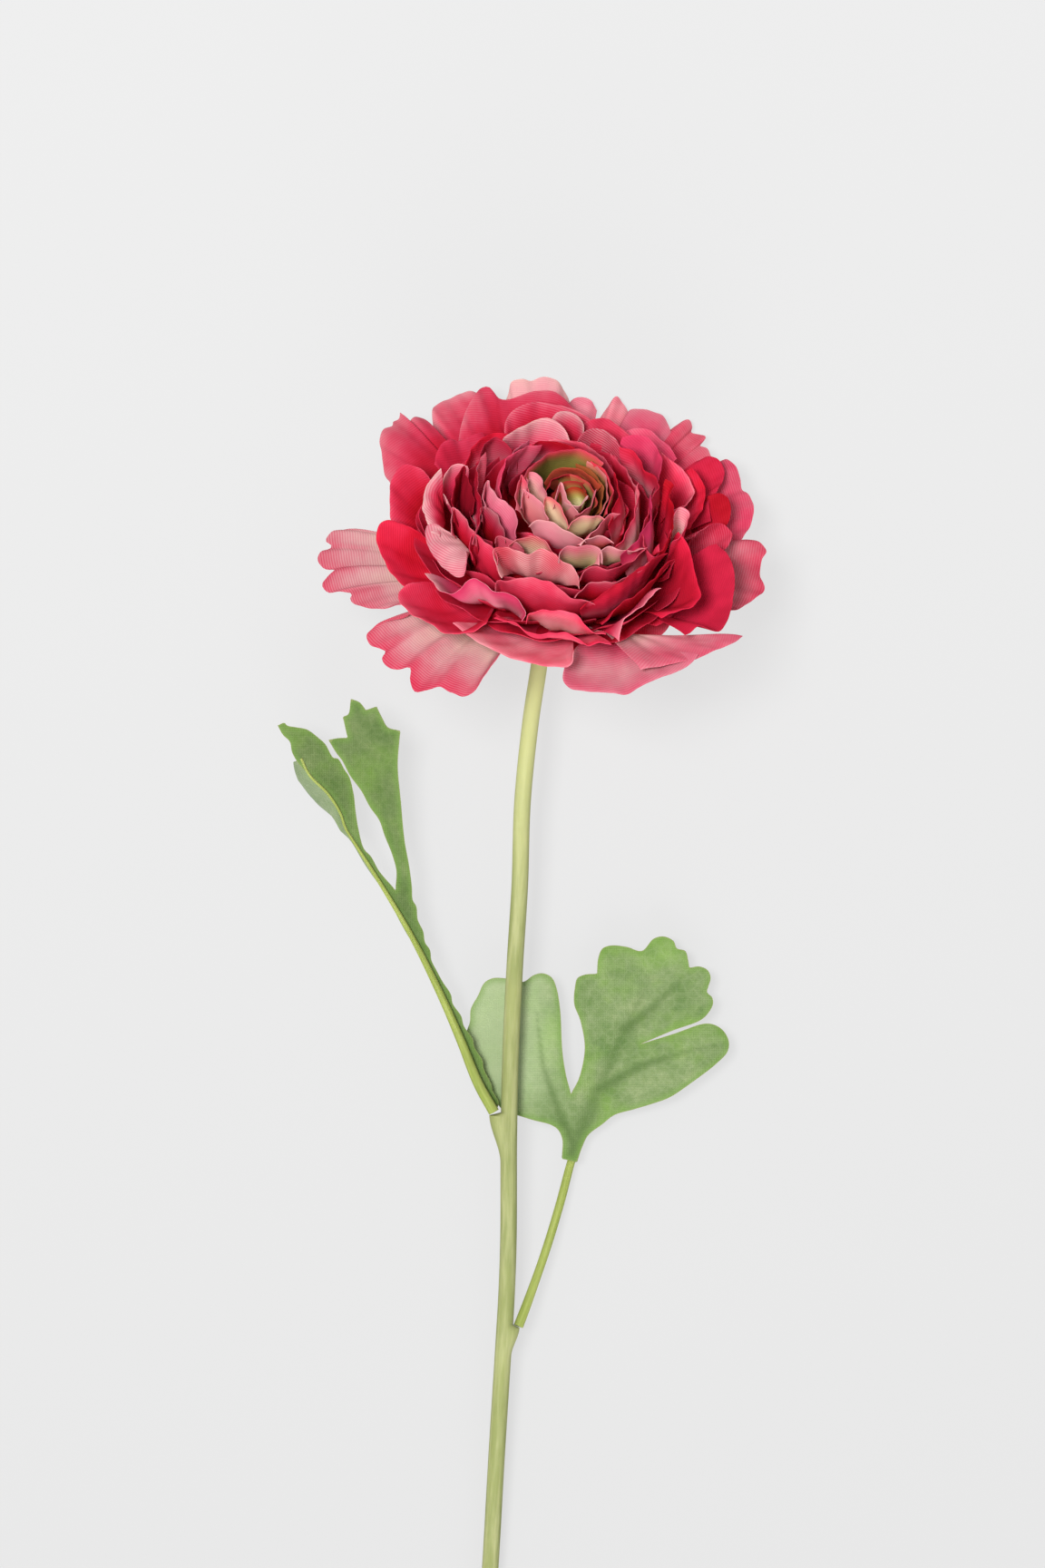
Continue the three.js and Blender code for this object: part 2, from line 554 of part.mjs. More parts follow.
const HEART_BORDER = {
  circles: [[6, 17.6], [8.8, 17.6]],
  swell: 1.5,
  lift: 0,
  line: [
    [-1, 69.2], [0.6, 71.4], [2.8, 73.4], [5.6, 74.6], [8.8, 74.4], [12, 73.4], [15.2, 72.2],
    [18.4, 70.2], [20.2, 67.6], [20.6, 64.4], [21.6, 61.4], [23, 59.4], [22.4, 56.4], [20.8, 53.4],
    [18.4, 53.2], [15.8, 53.8], [13.8, 52.8], [10.8, 53.6], [7.2, 54.8], [3.6, 56.2], [0.6, 56],
    [-1.6, 58.4], [-2.4, 61.6], [-2.2, 64.8],
  ],
};

// All that lies inside a border, drawn in by inset.
function room({ circles, swell, line, lift }, inset) {
  const [first, last] = [circles[0], circles.at(-1)];
  const edge = new THREE.CatmullRomCurve3(
    line.map(([x, y, height]) => (height === undefined ? onDome([x, y], lift) : above([x, y], height))),
    true,
    "centripetal",
  ).getSpacedPoints(BORDER_STEPS).slice(0, -1);
  const turned = (r, z, p) => vec(p.x, p.y, 0).setLength(r).setZ(z);
  const eye = vec(0, 0, EYE).applyMatrix4(toBloom);
  const rows = circles.map(([r, z]) => edge.map((p) => turned(r, z, p)));
  rows.push(
    edge.map((p) => {
      const foot = turned(...last, p);
      const out = turned(p.z - last[1], last[0] - Math.hypot(p.x, p.y), p).normalize();
      return foot.lerp(p, 0.5).addScaledVector(out, swell);
    }),
    edge,
    edge.map((p) => p.clone().addScaledVector(eye.clone().sub(p).normalize(), FAR)),
  );
  const points = rows.flat();
  points.push(vec(0, 0, first[1]), mean(rows.at(-1)));
  const faces = [];
  const n = BORDER_STEPS;
  for (let k = 0; k < n; k++) {
    const next = (k + 1) % n;
    for (let i = 0; i + 1 < rows.length; i++) {
      const [a, b, c, d] = [i * n + k, i * n + next, (i + 1) * n + next, (i + 1) * n + k];
      faces.push(a, c, b, a, d, c);
    }
    const top = (rows.length - 1) * n;
    faces.push(points.length - 2, k, next, points.length - 1, top + next, top + k);
  }
  const geometry = new THREE.BufferGeometry().setFromPoints(points);
  geometry.setIndex(faces);
  geometry.computeVertexNormals();
  const normal = geometry.attributes.normal;
  points.forEach((p, i) =>
    p.addScaledVector(new THREE.Vector3().fromBufferAttribute(normal, i), -inset),
  );
  geometry.setFromPoints(points);
  return solidOf(geometry);
}

// The cores that the petals of each colour are rooted in, as profiles round the axis
const GUARD_CORE = [[HUB_HOLE, GAP], [8.5, GAP], [15, 1.6], [15, 2.9], [HUB_HOLE, 2.9], [HUB_HOLE, GAP]];
const CRIMSON_CORE = [[HUB_HOLE, 3.9], [21, 3.9], [28.5, 8], [31, 13], [HUB_HOLE, 13], [HUB_HOLE, 3.9]];
const RUFFLED_CORE = [
  [HUB_HOLE, 8.7], [22.4, 8.7], [24, 15.5], [20, 19], [15, 21.5], [HUB_HOLE, 21.5], [HUB_HOLE, 8.7],
];
const HEART_CORE = [[0, 17.9], [8.3, 17.9], [9, 21], [7, 23.5], [0, 25]];

const HALF_GAP = 0.2; // a border is drawn in or out by this
function bloomSolids() {
  const floor = solidOf(
    new THREE.BoxGeometry(4 * FAR, 4 * FAR, FAR).translate(0, 0, -FAR / 2).applyMatrix4(toBloom),
  );
  const guard = joined([lathe(GUARD_CORE), ...petalSolids(GUARDS, GUARD_ROOT)])
    .subtract(room(GUARD_BORDER, -HALF_GAP))
    .subtract(floor);
  const crimson = joined([lathe(CRIMSON_CORE), ...petalSolids(CRIMSON, CRIMSON_ROOT)])
    .intersect(room(GUARD_BORDER, HALF_GAP))
    .subtract(room(CRIMSON_BORDER, -HALF_GAP))
    .subtract(floor);
  const ruffled = joined([lathe(RUFFLED_CORE), ...petalSolids(RUFFLED, RUFFLED_ROOT)])
    .intersect(room(CRIMSON_BORDER, HALF_GAP))
    .subtract(room(HEART_BORDER, -HALF_GAP));
  const heart = joined([lathe(HEART_CORE, 12), ...petalSolids(HEART, HEART_ROOT)]).intersect(
    room(HEART_BORDER, HALF_GAP),
  );
  return { guard, crimson, ruffled, heart };
}

const bloom = new THREE.Group();
bloomMatrix.decompose(bloom.position, bloom.quaternion, bloom.scale);
const petals = bloomSolids();
bloom.add(mesh("guard_petals", petals.guard, 0xd98a98, 0.7));
bloom.add(mesh("crimson_petals", petals.crimson, 0xc22a50, 0.7));
bloom.add(mesh("ruffled_petals", petals.ruffled, 0xc9405c, 0.7));
bloom.add(mesh("heart", petals.heart, 0xb9b070, 0.7));

// The calyx: a cup under the guard petals, the peg that carries every layer, and a socket below.
const SOCKET_RADIUS = STEM_RADIUS + GAP;
const calyx = lathe([
  [0, -1.2], [SOCKET_RADIUS, -1.2], [SOCKET_RADIUS, -6], [3.1, -6], [4.4, -3], [7, -0.6], [7, 0],
  [PEG_RADIUS, 0], [PEG_RADIUS, 17.4], [0, 17.4],
], 16);
bloom.add(mesh("calyx", calyx, 0x8fa050, 0.5));

// Stem

const course = (points) =>
  new THREE.CatmullRomCurve3(points.map((p) => placed(...p)), false, "centripetal");

const down = (distance) => BLOOM_BASE.clone().addScaledVector(bloomAxis, -distance);
const stemCourse = new THREE.CatmullRomCurve3(
  [
    down(1.5), down(4), down(7.5), placed(4.2, 30, 18.2),
    placed(3.4, 24.4, 16.9), placed(1.8, 13.8, 15.9), placed(0, -4, 14.9), placed(-0.6, -22.2, 13.8),
    placed(-1.7, -40.2, 12.8), placed(-2.6, -59, 11.9), placed(-3, -77, 11.1), placed(-3.1, -100, 9.4),
    placed(-3.5, -112.2, 8.8), placed(-4.2, -124, 8), placed(-5.7, -148, 6.4), placed(-7.2, -174, 4.7),
    placed(-9.6, -206, 3.3), placed(-11.6, -232.8, 1.85),
  ],
  false,
  "centripetal",
);

// A boss that grows out of the stem towards a leaf, and the hole in it.
const LEFT_BOSS = { foot: placed(-3, -82.5, 10.9), top: placed(-6, -73, 11.7) };
const RIGHT_BOSS = { foot: placed(-3.6, -128.5, 7.7), top: placed(-1.1, -120.2, 7.7) };
function boss({ foot, top }) {
  const line = new THREE.LineCurve3(foot, top);
  return rod(line, (t) => 1.2 + 0.35 * t, 1, 10);
}
function bossHole({ foot, top }) {
  const way = top.clone().sub(foot).normalize();
  const mouth = top.clone().addScaledVector(way, 1);
  const line = new THREE.LineCurve3(mouth, top.clone().addScaledVector(way, -2));
  return rod(line, () => 0.9, 1, 8);
}

// The steel core: it stops short of the stem's top and shows at the cut end.
const stemEnd = stemCourse.getPointAt(1);
const endWay = stemCourse.getTangentAt(1);
const topPlug = (length) => rod(new THREE.LineCurve3(down(0), down(length)), () => 2.5, 1, 8);
const endPlug = (from, radius) =>
  rod(
    new THREE.LineCurve3(
      stemEnd.clone().addScaledVector(endWay, from),
      stemEnd.clone().addScaledVector(endWay, 1),
    ),
    () => radius,
    1,
    8,
  );
const core = (radius) => rod(stemCourse, () => radius, STEM_STEPS, 6, 1.35);
const stem = joined([
  rod(stemCourse, () => STEM_RADIUS, STEM_STEPS, 10, 1.35),
  boss(LEFT_BOSS),
  boss(RIGHT_BOSS),
])
  .subtract(core(WIRE_RADIUS + GAP).subtract(topPlug(3.5)))
  .subtract(endPlug(-0.5, WIRE_RADIUS + GAP))
  .subtract(bossHole(LEFT_BOSS))
  .subtract(bossHole(RIGHT_BOSS));
const wire = core(WIRE_RADIUS).subtract(topPlug(3.5 + GAP)).subtract(endPlug(-GAP, 2));

// Leaves

const inside = ([x, y], outline) => {
  let found = false;
  for (let i = 0, j = outline.length - 1; i < outline.length; j = i++) {
    const [ax, ay] = outline[i];
    const [bx, by] = outline[j];
    if (ay > y !== by > y && x < ((bx - ax) * (y - ay)) / (by - ay) + ax) found = !found;
  }
  return found;
};

// Triangles between points such that no circle round a triangle holds another point.
function delaunay(points) {
  const all = [...points, [-4000, -4000], [4000, -4000], [0, 5000]];
  const n = points.length;
  let triangles = [[n, n + 1, n + 2]];
  const holds = ([a, b, c], p) => {
    const [ax, ay] = [all[a][0] - p[0], all[a][1] - p[1]];
    const [bx, by] = [all[b][0] - p[0], all[b][1] - p[1]];
    const [cx, cy] = [all[c][0] - p[0], all[c][1] - p[1]];
    return (
      (ax * ax + ay * ay) * (bx * cy - cx * by) -
      (bx * bx + by * by) * (ax * cy - cx * ay) +
      (cx * cx + cy * cy) * (ax * by - bx * ay) > 0
    );
  };
  points.forEach((p, i) => {
    const edges = new Map();
    triangles = triangles.filter((t) => {
      if (!holds(t, p)) return true;
      for (const [q, r] of [[t[0], t[1]], [t[1], t[2]], [t[2], t[0]]]) {
        if (edges.has(r + "_" + q)) edges.delete(r + "_" + q);
        else edges.set(q + "_" + r, [q, r]);
      }
      return false;
    });
    for (const [q, r] of edges.values()) triangles.push([q, r, i]);
  });
  return triangles.filter((t) => Math.max(...t) < n);
}

// A leaf blade cut to an outline, at the height that heightAt gives over the surface.
function blade(outline, heightAt, spacing) {
  const xs = outline.map((p) => p[0]);
  const ys = outline.map((p) => p[1]);
  const points = outline.map(([x, y], i) => [x + 1e-4 * jitter(i), y + 1e-4 * jitter(i + 0.5)]);
  for (let row = 0, y = Math.min(...ys); y < Math.max(...ys); row++, y += spacing * 0.87) {
    for (let x = Math.min(...xs) + (row % 2) * spacing * 0.5; x < Math.max(...xs); x += spacing) {
      const clear = outline.every(([a, b]) => Math.hypot(a - x, b - y) > 0.62 * spacing);
      if (clear && inside([x, y], outline)) points.push([x, y]);
    }
  }
  const triangles = delaunay(points).filter((t) =>
    inside([0, 1].map((k) => (points[t[0]][k] + points[t[1]][k] + points[t[2]][k]) / 3), outline),
  );
  const at = (x, y) => placed(x, y, heightAt(x, y));
  const mid = points.map(([x, y]) => at(x, y));
  return sheet(mid, triangles, LEAF_THICKNESS);
}

// Distance from a point to a run of points, and how far along the run it lies, from 0 to 1.
function along([x, y], run) {
  let best = { distance: Infinity, share: 0, y: 0 };
  for (let i = 0; i + 1 < run.length; i++) {
    const [ax, ay] = run[i];
    const [bx, by] = run[i + 1];
    const length = (bx - ax) ** 2 + (by - ay) ** 2;
    const t = Math.min(1, Math.max(0, ((x - ax) * (bx - ax) + (y - ay) * (by - ay)) / length));
    const distance = Math.hypot(x - ax - t * (bx - ax), y - ay - t * (by - ay));
    if (distance >= best.distance) continue;
    best = { distance, share: (i + t) / (run.length - 1), y: ay + t * (by - ay) };
  }
  return best;
}

// The right leaf: three broad lobes, low over the surface, with its stalk as a midrib below.
const RIGHT_OUTLINE = [
  [8.7, -82.6], [12, -83.4], [13.1, -80.2], [14.5, -77.4], [17.6, -75], [20.2, -73], [24.6, -71.7],
  [28.9, -70.4], [32.4, -69.1], [37.2, -65.9], [42.8, -61.6], [45.2, -59], [45.5, -56.8], [44.3, -54.4],
  [42.4, -53.1], [41.2, -52.2], [40.8, -50.7], [42, -48.5], [41.8, -47], [40.7, -45.9], [41, -44.6],
  [41.5, -42.7], [40.8, -41], [38.9, -40.2], [36.8, -40.5], [36.5, -38.8], [35.9, -36.8], [34, -36.2],
  [33.3, -34.6], [31.1, -33.6], [28.9, -34.1], [26.3, -36.8], [23, -35.9], [19.4, -35.6], [17.6, -36.3],
  [16.7, -38.4], [16.4, -41.8], [13.8, -42], [12.1, -42.8], [11.6, -44.6], [11.4, -48.5], [12.7, -52],
  [13.7, -57.2], [13.5, -60.6], [12.4, -65], [10.7, -68.3], [9.6, -64.2], [8.8, -59], [8.3, -49.8],
  [7.5, -45], [6.4, -42.6], [4.4, -41.7], [2.5, -42.1], [0.2, -43.6], [-1.6, -43.2], [-4, -42.8],
  [-6.6, -42.8], [-8.4, -43.8], [-9.8, -46.6], [-11.4, -49.6], [-11.6, -52.4], [-12.4, -55.4],
  [-10.4, -60.2], [-8, -65.2], [-6, -69.6], [-4, -72.2], [-1.2, -73], [2.4, -74.1], [6.4, -75.2],
  [7.9, -76.3], [8.8, -78.4],
];
const RIGHT_MIDRIB = [[10.8, -83], [13.2, -76], [16.8, -67.2], [22.6, -54], [28.5, -42]];
const rightHeight = (x, y) => {
  const { distance, share } = along([x, y], RIGHT_MIDRIB);
  const rise = 2.6 * (1 - Math.exp(-distance / 9));
  return 4.7 - 0.7 * share + rise + 0.5 * Math.sin(x / 5.2 + 1) * Math.min(1, distance / 12);
};
// The slit between its two right lobes
const slit = solidOf(
  new THREE.ExtrudeGeometry(
    new THREE.Shape([[26.2, -57.8], [43, -52.9], [42.6, -51.9], [26.2, -57.5]].map(
      ([x, y]) => new THREE.Vector2(x, y),
    )),
    { depth: 20, bevelEnabled: false },
  ),
);
const rightBlade = blade(RIGHT_OUTLINE, rightHeight, 6).subtract(slit);
const rightTop = RIGHT_BOSS.top;
const rightWay = RIGHT_BOSS.top.clone().sub(RIGHT_BOSS.foot).normalize();
const rightCourse = new THREE.CatmullRomCurve3(
  [
    rightTop.clone().addScaledVector(rightWay, GAP), placed(1.2, -114, 6.7), placed(5.4, -102, 4.9),
    placed(8.4, -92, 3.7), placed(10.8, -83, 3.1), placed(13.2, -76, 2.95), placed(16.8, -67.2, 2.75),
    placed(22.6, -54, 2.5),
  ],
  false,
  "centripetal",
);
const peg = (top, way) =>
  rod(
    new THREE.LineCurve3(top.clone().addScaledVector(way, 2), top.clone().addScaledVector(way, -1.7)),
    () => 0.6,
    1,
    8,
  );
const rightStalk = rod(rightCourse, (t) => 0.95 - 0.5 * Math.max(0, t - 0.45), 18, 8).add(
  peg(rightTop, rightWay),
);

// The left leaf: folded along its rib, one half spread to the right and the other hanging below.
const LEFT_RIB = [
  [-6.3, -72.3], [-9.8, -66], [-13.6, -56.6], [-17.6, -47.4], [-24, -34.4], [-29.2, -25.4],
  [-33.7, -18.2], [-37.3, -12.6], [-39, -9.8], [-40.3, -6.2], [-42.9, -2.2], [-47, 2], [-48.8, 5.6],
];
const ribShare = (y) => (y - LEFT_RIB[0][1]) / (LEFT_RIB.at(-1)[1] - LEFT_RIB[0][1]);
const ribHeight = (y) => 11.9 + 4.5 * ribShare(y) + 3.5 * ribShare(y) ** 2;
const ribRadius = (y) => Math.max(0.35, 1.2 - 1.8 * ribShare(y));
const LEFT_OUTLINE = [
  [-5.6, -71.4], [-5.2, -70.4], [-7.8, -65], [-9.8, -59.8], [-12.7, -54.6], [-15, -49.4],
  [-17.6, -43.6], [-20.2, -37.6], [-21.8, -33.8], [-23.4, -28.6], [-24.2, -24.2], [-24.9, -19.2],
  [-26, -12.4], [-27, -3.4], [-27.6, 3], [-27, 11.8], [-29.8, 12.5], [-32.1, 17], [-34.1, 16.4],
  [-37.8, 18.8], [-38.4, 15.4], [-39.6, 14.8], [-38.6, 10.2], [-40.8, 10.1], [-42.8, 9.7],
  [-41.1, 6.9], [-39.8, 5.2], [-38, 1.8], [-35.5, -1.6], [-33.7, -5], [-31.6, -8], [-30.4, -11.4],
  [-28.8, -15.4], [-27.8, -19.2], [-28, -23.4], [-31.6, -19.2], [-33.4, -16], [-35, -14.2],
  [-36.2, -9.8], [-36.6, -6], [-37, -2.4], [-38.2, 1.4], [-39.6, 3.2], [-41, 5.6], [-43.6, 8.8],
  [-46.4, 10.8], [-48.2, 12], [-50.8, 12.5], [-52.8, 13.4], [-54.1, 13], [-52.8, 10.8], [-51.3, 9.4],
  [-50.8, 7], [-49.5, 4.8], [-48, 3], [-46.2, 1.2], [-42.9, -2.2], [-40.4, -6.2], [-39, -9.8],
  [-37.3, -12.6], [-33.7, -18.2], [-29.2, -25.4], [-24, -34.4], [-17.6, -47.4], [-13.6, -56.6],
  [-9.8, -66], [-7, -70.4],
];
const leftHeight = (x, y) => {
  const near = along([x, y], LEFT_RIB);
  const top = ribHeight(near.y) - ribRadius(near.y) - GAP - LEAF_THICKNESS / 2 - 0.05;
  return top - 0.25 * near.distance + 0.012 * near.distance ** 2;
};

const mainBlade = blade(LEFT_OUTLINE, leftHeight, 5);
const leftCourse = course(LEFT_RIB.map(([x, y]) => [x, y, ribHeight(y)]));

// The hanging half, lobed like the other, seen nearly edge on: share runs along the rib, and down from
// the rib to the edge.
function hangingPoint(share, down) {
  const at = share * (LEFT_RIB.length - 1);
  const i = Math.min(LEFT_RIB.length - 2, Math.floor(at));
  const [x, y] = [0, 1].map((k) => LEFT_RIB[i][k] + (at - i) * (LEFT_RIB[i + 1][k] - LEFT_RIB[i][k]));
  const width = 2 + 8 * Math.exp(-(((share - 0.86) / 0.16) ** 2)) + 0.5 * Math.sin(40 * share);
  const reach = down * width;
  return placed(x + 0.4 - 0.34 * reach, y - 0.12 * reach, leftHeight(x, y) - reach * 0.95 + 0.1);
}
const steps = (count) => Array.from({ length: count + 1 }, (_, i) => i / count);
const hanging = gridSheet(
  steps(16).map((u) => steps(2).map((v) => hangingPoint(0.04 + 0.96 * u, v))),
  LEAF_THICKNESS,
);
const leftTop = LEFT_BOSS.top;
const leftWay = LEFT_BOSS.top.clone().sub(LEFT_BOSS.foot).normalize();
const leftRib = rod(leftCourse, (t) => ribRadius(leftCourse.getPointAt(t).y), 20, 8).add(
  peg(leftTop, leftWay),
);

const flower = new THREE.Group();
flower.add(bloom);
flower.add(mesh("stem", stem, 0xbcc083, 0.5));
flower.add(mesh("stem_wire", wire, 0x9a9a9a, 0.35));
flower.add(mesh("right_leaf_blade", rightBlade, 0x86b070, 0.7));
flower.add(mesh("right_leaf_stalk", rightStalk, 0x9aad55, 0.5));
flower.add(mesh("left_leaf_blade", joined([mainBlade, hanging]), 0x7fa869, 0.7));
flower.add(mesh("left_leaf_rib", leftRib, 0x93a23c, 0.5));
flower.position.copy(ORIGIN).negate();

export default flower;
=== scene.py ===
import math

import bpy
import numpy as np
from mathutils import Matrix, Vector
from mathutils.geometry import delaunay_2d_cdt


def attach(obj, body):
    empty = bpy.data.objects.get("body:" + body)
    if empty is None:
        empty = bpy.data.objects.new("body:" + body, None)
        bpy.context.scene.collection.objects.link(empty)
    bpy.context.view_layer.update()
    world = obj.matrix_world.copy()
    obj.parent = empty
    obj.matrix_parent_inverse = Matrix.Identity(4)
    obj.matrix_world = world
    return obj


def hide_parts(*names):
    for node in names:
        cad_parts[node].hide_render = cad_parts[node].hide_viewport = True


# An artificial Persian buttercup lying on a pale surface, seen from straight above. Shapes are given in
# millimetres, and build_mesh turns them into metres. The floor, the lights and depths in the materials
# are in metres.

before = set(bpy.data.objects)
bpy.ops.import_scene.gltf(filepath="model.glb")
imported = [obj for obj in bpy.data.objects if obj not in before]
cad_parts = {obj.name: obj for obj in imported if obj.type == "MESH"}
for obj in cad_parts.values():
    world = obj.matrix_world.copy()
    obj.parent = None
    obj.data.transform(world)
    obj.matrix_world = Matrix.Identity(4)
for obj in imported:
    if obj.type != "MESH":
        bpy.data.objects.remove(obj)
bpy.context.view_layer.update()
MM = 0.001

# Driving dimensions, as in the part's source
STEM_RADIUS = 1.85
WIRE_RADIUS = 0.55
GAP = 0.3
BLOOM_TILT = 47.5
BLOOM_LEAN = 9
BLOOM_BASE = np.array([6.2, 44.8, 26.6])
ORIGIN = np.array([-0.3, -72.45, 0.0])
EYE = 1500.0
EYE_PLANE = 20.0  # the height at which things look their true size

# Cloth, thinner than the sheets that stand in for it in the source
PETAL_THICKNESS = 0.2
LEAF_THICKNESS = 0.36
LOWEST = 0.16  # the lowest that the middle of a petal may lie

# Camera: straight above the middle of the photograph, far enough away for its flat perspective
PHOTO_HEIGHT = 345.6
SENSOR = 36.0


def make_camera():
    camera = bpy.data.objects.new("camera", bpy.data.cameras.new("camera"))
    bpy.context.scene.collection.objects.link(camera)
    camera.location = (-ORIGIN[0] * MM, -ORIGIN[1] * MM, EYE * MM)
    camera.data.sensor_width = SENSOR
    camera.data.lens = SENSOR * (EYE - EYE_PLANE) / PHOTO_HEIGHT
    bpy.context.scene.camera = camera


make_camera()


# Number helpers

SPLINE_STEPS = 24  # points worked out between two given ones before they are spread evenly


def jitter(seed):
    """A number from -1 to 1 that looks random and is always the same for a seed."""
    s = np.sin(np.asarray(seed, float) * 12.9898) * 43758.5453
    return 2 * (s - np.floor(s)) - 1


def smooth(t):
    t = np.clip(t, 0, 1)
    return t * t * (3 - 2 * t)


def unit(v):
    return v / np.linalg.norm(v, axis=-1, keepdims=True)


def placed(x, y, z):
    """A point that is given as it looks from above, drawn in to its height."""
    k = (EYE - np.asarray(z, float)) / (EYE - EYE_PLANE)
    return np.stack([x * k, y * k, z + 0 * k], -1)


def run_length(points):
    """How far along a run of points each one lies."""
    return np.concatenate([[0], np.cumsum(np.linalg.norm(np.diff(points, axis=0), axis=1))])


def blend(p, q, start, end, t):
    """From p at the start to q at the end."""
    return (end - t) / (end - start) * p + (t - start) / (end - start) * q


def spline(points, count, closed=False):
    """Points evenly spread along a smooth curve through the given ones."""
    p = np.array(points, float)
    p = np.vstack([p[-1:], p, p[:2]]) if closed else np.vstack([2 * p[0] - p[1], p, 2 * p[-1] - p[-2]])
    knots = np.concatenate([[0], np.cumsum(np.linalg.norm(np.diff(p, axis=0), axis=1) ** 0.5)])
    dense = []
    for i in range(1, len(p) - 2):
        t0, t1, t2, t3 = knots[i - 1 : i + 3]
        t = np.linspace(t1, t2, SPLINE_STEPS, endpoint=False)[:, None]
        a1 = blend(p[i - 1], p[i], t0, t1, t)
        a2 = blend(p[i], p[i + 1], t1, t2, t)
        a3 = blend(p[i + 1], p[i + 2], t2, t3, t)
        dense.append(blend(blend(a1, a2, t0, t2, t), blend(a2, a3, t1, t3, t), t1, t2, t))
    dense = np.vstack(dense + [p[-2:-1]])
    run = run_length(dense)
    at = np.linspace(0, run[-1], count, endpoint=not closed)
    return np.stack([np.interp(at, run, dense[:, k]) for k in range(p.shape[1])], 1)


# Mesh helpers

EDGE_SHARE = 0.45  # how thick a sheet is at its edge, so that its rim is rounded
SHARP_ANGLE = 60


class Parts:
    """Collects the vertices, faces and attributes of one mesh."""

    def __init__(self):
        self.points, self.faces, self.values, self.count = [], [], {}, 0

    def add(self, points, faces, **values):
        self.points.append(points)
        self.faces += [tuple(i + self.count for i in f) for f in faces]
        for key, value in values.items():
            self.values.setdefault(key, []).append(value)
        self.count += len(points)

    def add_sheet(self, middle, normal, faces, thickness, **values):
        """A sheet of cloth. Each value is an array for both of its sides, or a pair of arrays."""
        shape, faces = shell(middle.reshape(-1, 3), normal.reshape(-1, 3), faces, thickness)
        doubled = {}
        for key, value in values.items():
            sides = value if isinstance(value, tuple) else (value, value)
            doubled[key] = np.vstack([side.reshape(-1, 3) for side in sides])
        self.add(shape, faces, **doubled)


def build_mesh(name, parts, material, node):
    points = (np.vstack(parts.points) - ORIGIN) * MM
    data = bpy.data.meshes.new(name)
    data.from_pydata(points.tolist(), [], parts.faces)
    for key, value in parts.values.items():
        attribute = data.attributes.new(key, "FLOAT_VECTOR", "POINT")
        attribute.data.foreach_set("vector", np.vstack(value).astype(np.float32).ravel())
    data.polygons.foreach_set("use_smooth", [True] * len(data.polygons))
    data.materials.append(material)
    data.validate()
    data.set_sharp_from_angle(angle=math.radians(SHARP_ANGLE))
    piece = bpy.data.objects.new(name, data)
    bpy.context.scene.collection.objects.link(piece)
    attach(piece, "root")
    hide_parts(node)


def shell(middle, normal, polygons, thickness):
    """Both faces of a sheet and the band between them, which is drawn in at the edge."""
    count = len(middle)
    edge = {}  # a dict and not a set, because it keeps its order
    for f in polygons:
        for a, b in zip(f, f[1:] + f[:1]):
            if (b, a) in edge:
                del edge[(b, a)]
            else:
                edge[(a, b)] = True
    half = np.full((count, 1), thickness / 2)
    half[sorted({i for pair in edge for i in pair})] *= EDGE_SHARE
    points = np.vstack([middle + normal * half, middle - normal * half])
    faces = [tuple(f) for f in polygons]
    faces += [tuple(i + count for i in reversed(f)) for f in polygons]
    faces += [(b, a, a + count, b + count) for a, b in edge]
    return points, faces


def grid_faces(rows, columns):
    return [
        [i * columns + j, (i + 1) * columns + j, (i + 1) * columns + j + 1, i * columns + j + 1]
        for i in range(rows - 1)
        for j in range(columns - 1)
    ]


def grid_normals(points):
    return unit(np.cross(np.gradient(points, axis=0), np.gradient(points, axis=1)))


def filled(shape, x=0.0, y=0.0, z=0.0):
    """Three values side by side over a grid, each one an array or a number."""
    return np.stack([np.broadcast_to(value, shape) for value in (x, y, z)], -1)


# The bloom's frame: right and back across its axis, and up along it

TILT, LEAN = math.radians(BLOOM_TILT), math.radians(BLOOM_LEAN)
AXIS = np.array([math.sin(TILT) * math.sin(LEAN), math.sin(TILT) * math.cos(LEAN), math.cos(TILT)])
RIGHT = unit(np.array([1.0, 0, 0]) - AXIS[0] * AXIS)
BACK = np.cross(AXIS, RIGHT)
BLOOM_AXES = np.array([RIGHT, BACK, AXIS])

# The dome that the rims form: distances from the axis, and the height at each
DOME = np.array([
    (0, 27), (5, 29), (10, 29.5), (15, 28), (20, 26), (24, 24.5), (28, 23), (31, 20), (34, 16),
    (38, 11.5), (41, 10), (45, 7), (50, 3.5), (56, 1),
])
HIGHEST = 75.0  # over the surface, above the top of the dome
HALVINGS = 30
PRESSED_FROM = 12  # behind the axis, where the surface starts to press the petals
PRESSED_BY = 0.005


def from_bloom(points):
    return points @ BLOOM_AXES + BLOOM_BASE


def to_bloom(points):
    return (points - BLOOM_BASE) @ BLOOM_AXES.T


def pressed(points):
    """The same points after the surface has pressed the low side of the bloom up along its axis."""
    points[..., 2] += PRESSED_BY * np.maximum(0, points[..., 1] - PRESSED_FROM) ** 2
    return points


def seen(x, y, z=None, lift=0.0):
    """The point of the bloom, in its frame, that is seen at x, y: at a height z over the surface, or
    on the dome raised by lift."""
    if z is not None:
        return to_bloom(placed(x, y, z))
    low, high = 0.0, HIGHEST
    for _ in range(HALVINGS):
        middle = (low + high) / 2
        p = to_bloom(placed(x, y, middle))
        if p[2] > np.interp(math.hypot(p[0], p[1]), DOME[:, 0], DOME[:, 1]) + lift:
            high = middle
        else:
            low = middle
    return p


def rim_points(rim, z, lift):
    """The rim in the bloom's frame, with heights z spread evenly along it, or on the dome."""
    if z is None:
        return [seen(x, y, lift=lift) for x, y in rim]
    heights = np.interp(np.linspace(0, 1, len(rim)), np.linspace(0, 1, np.size(z)), np.atleast_1d(z))
    return [seen(x, y, height) for (x, y), height in zip(rim, heights)]


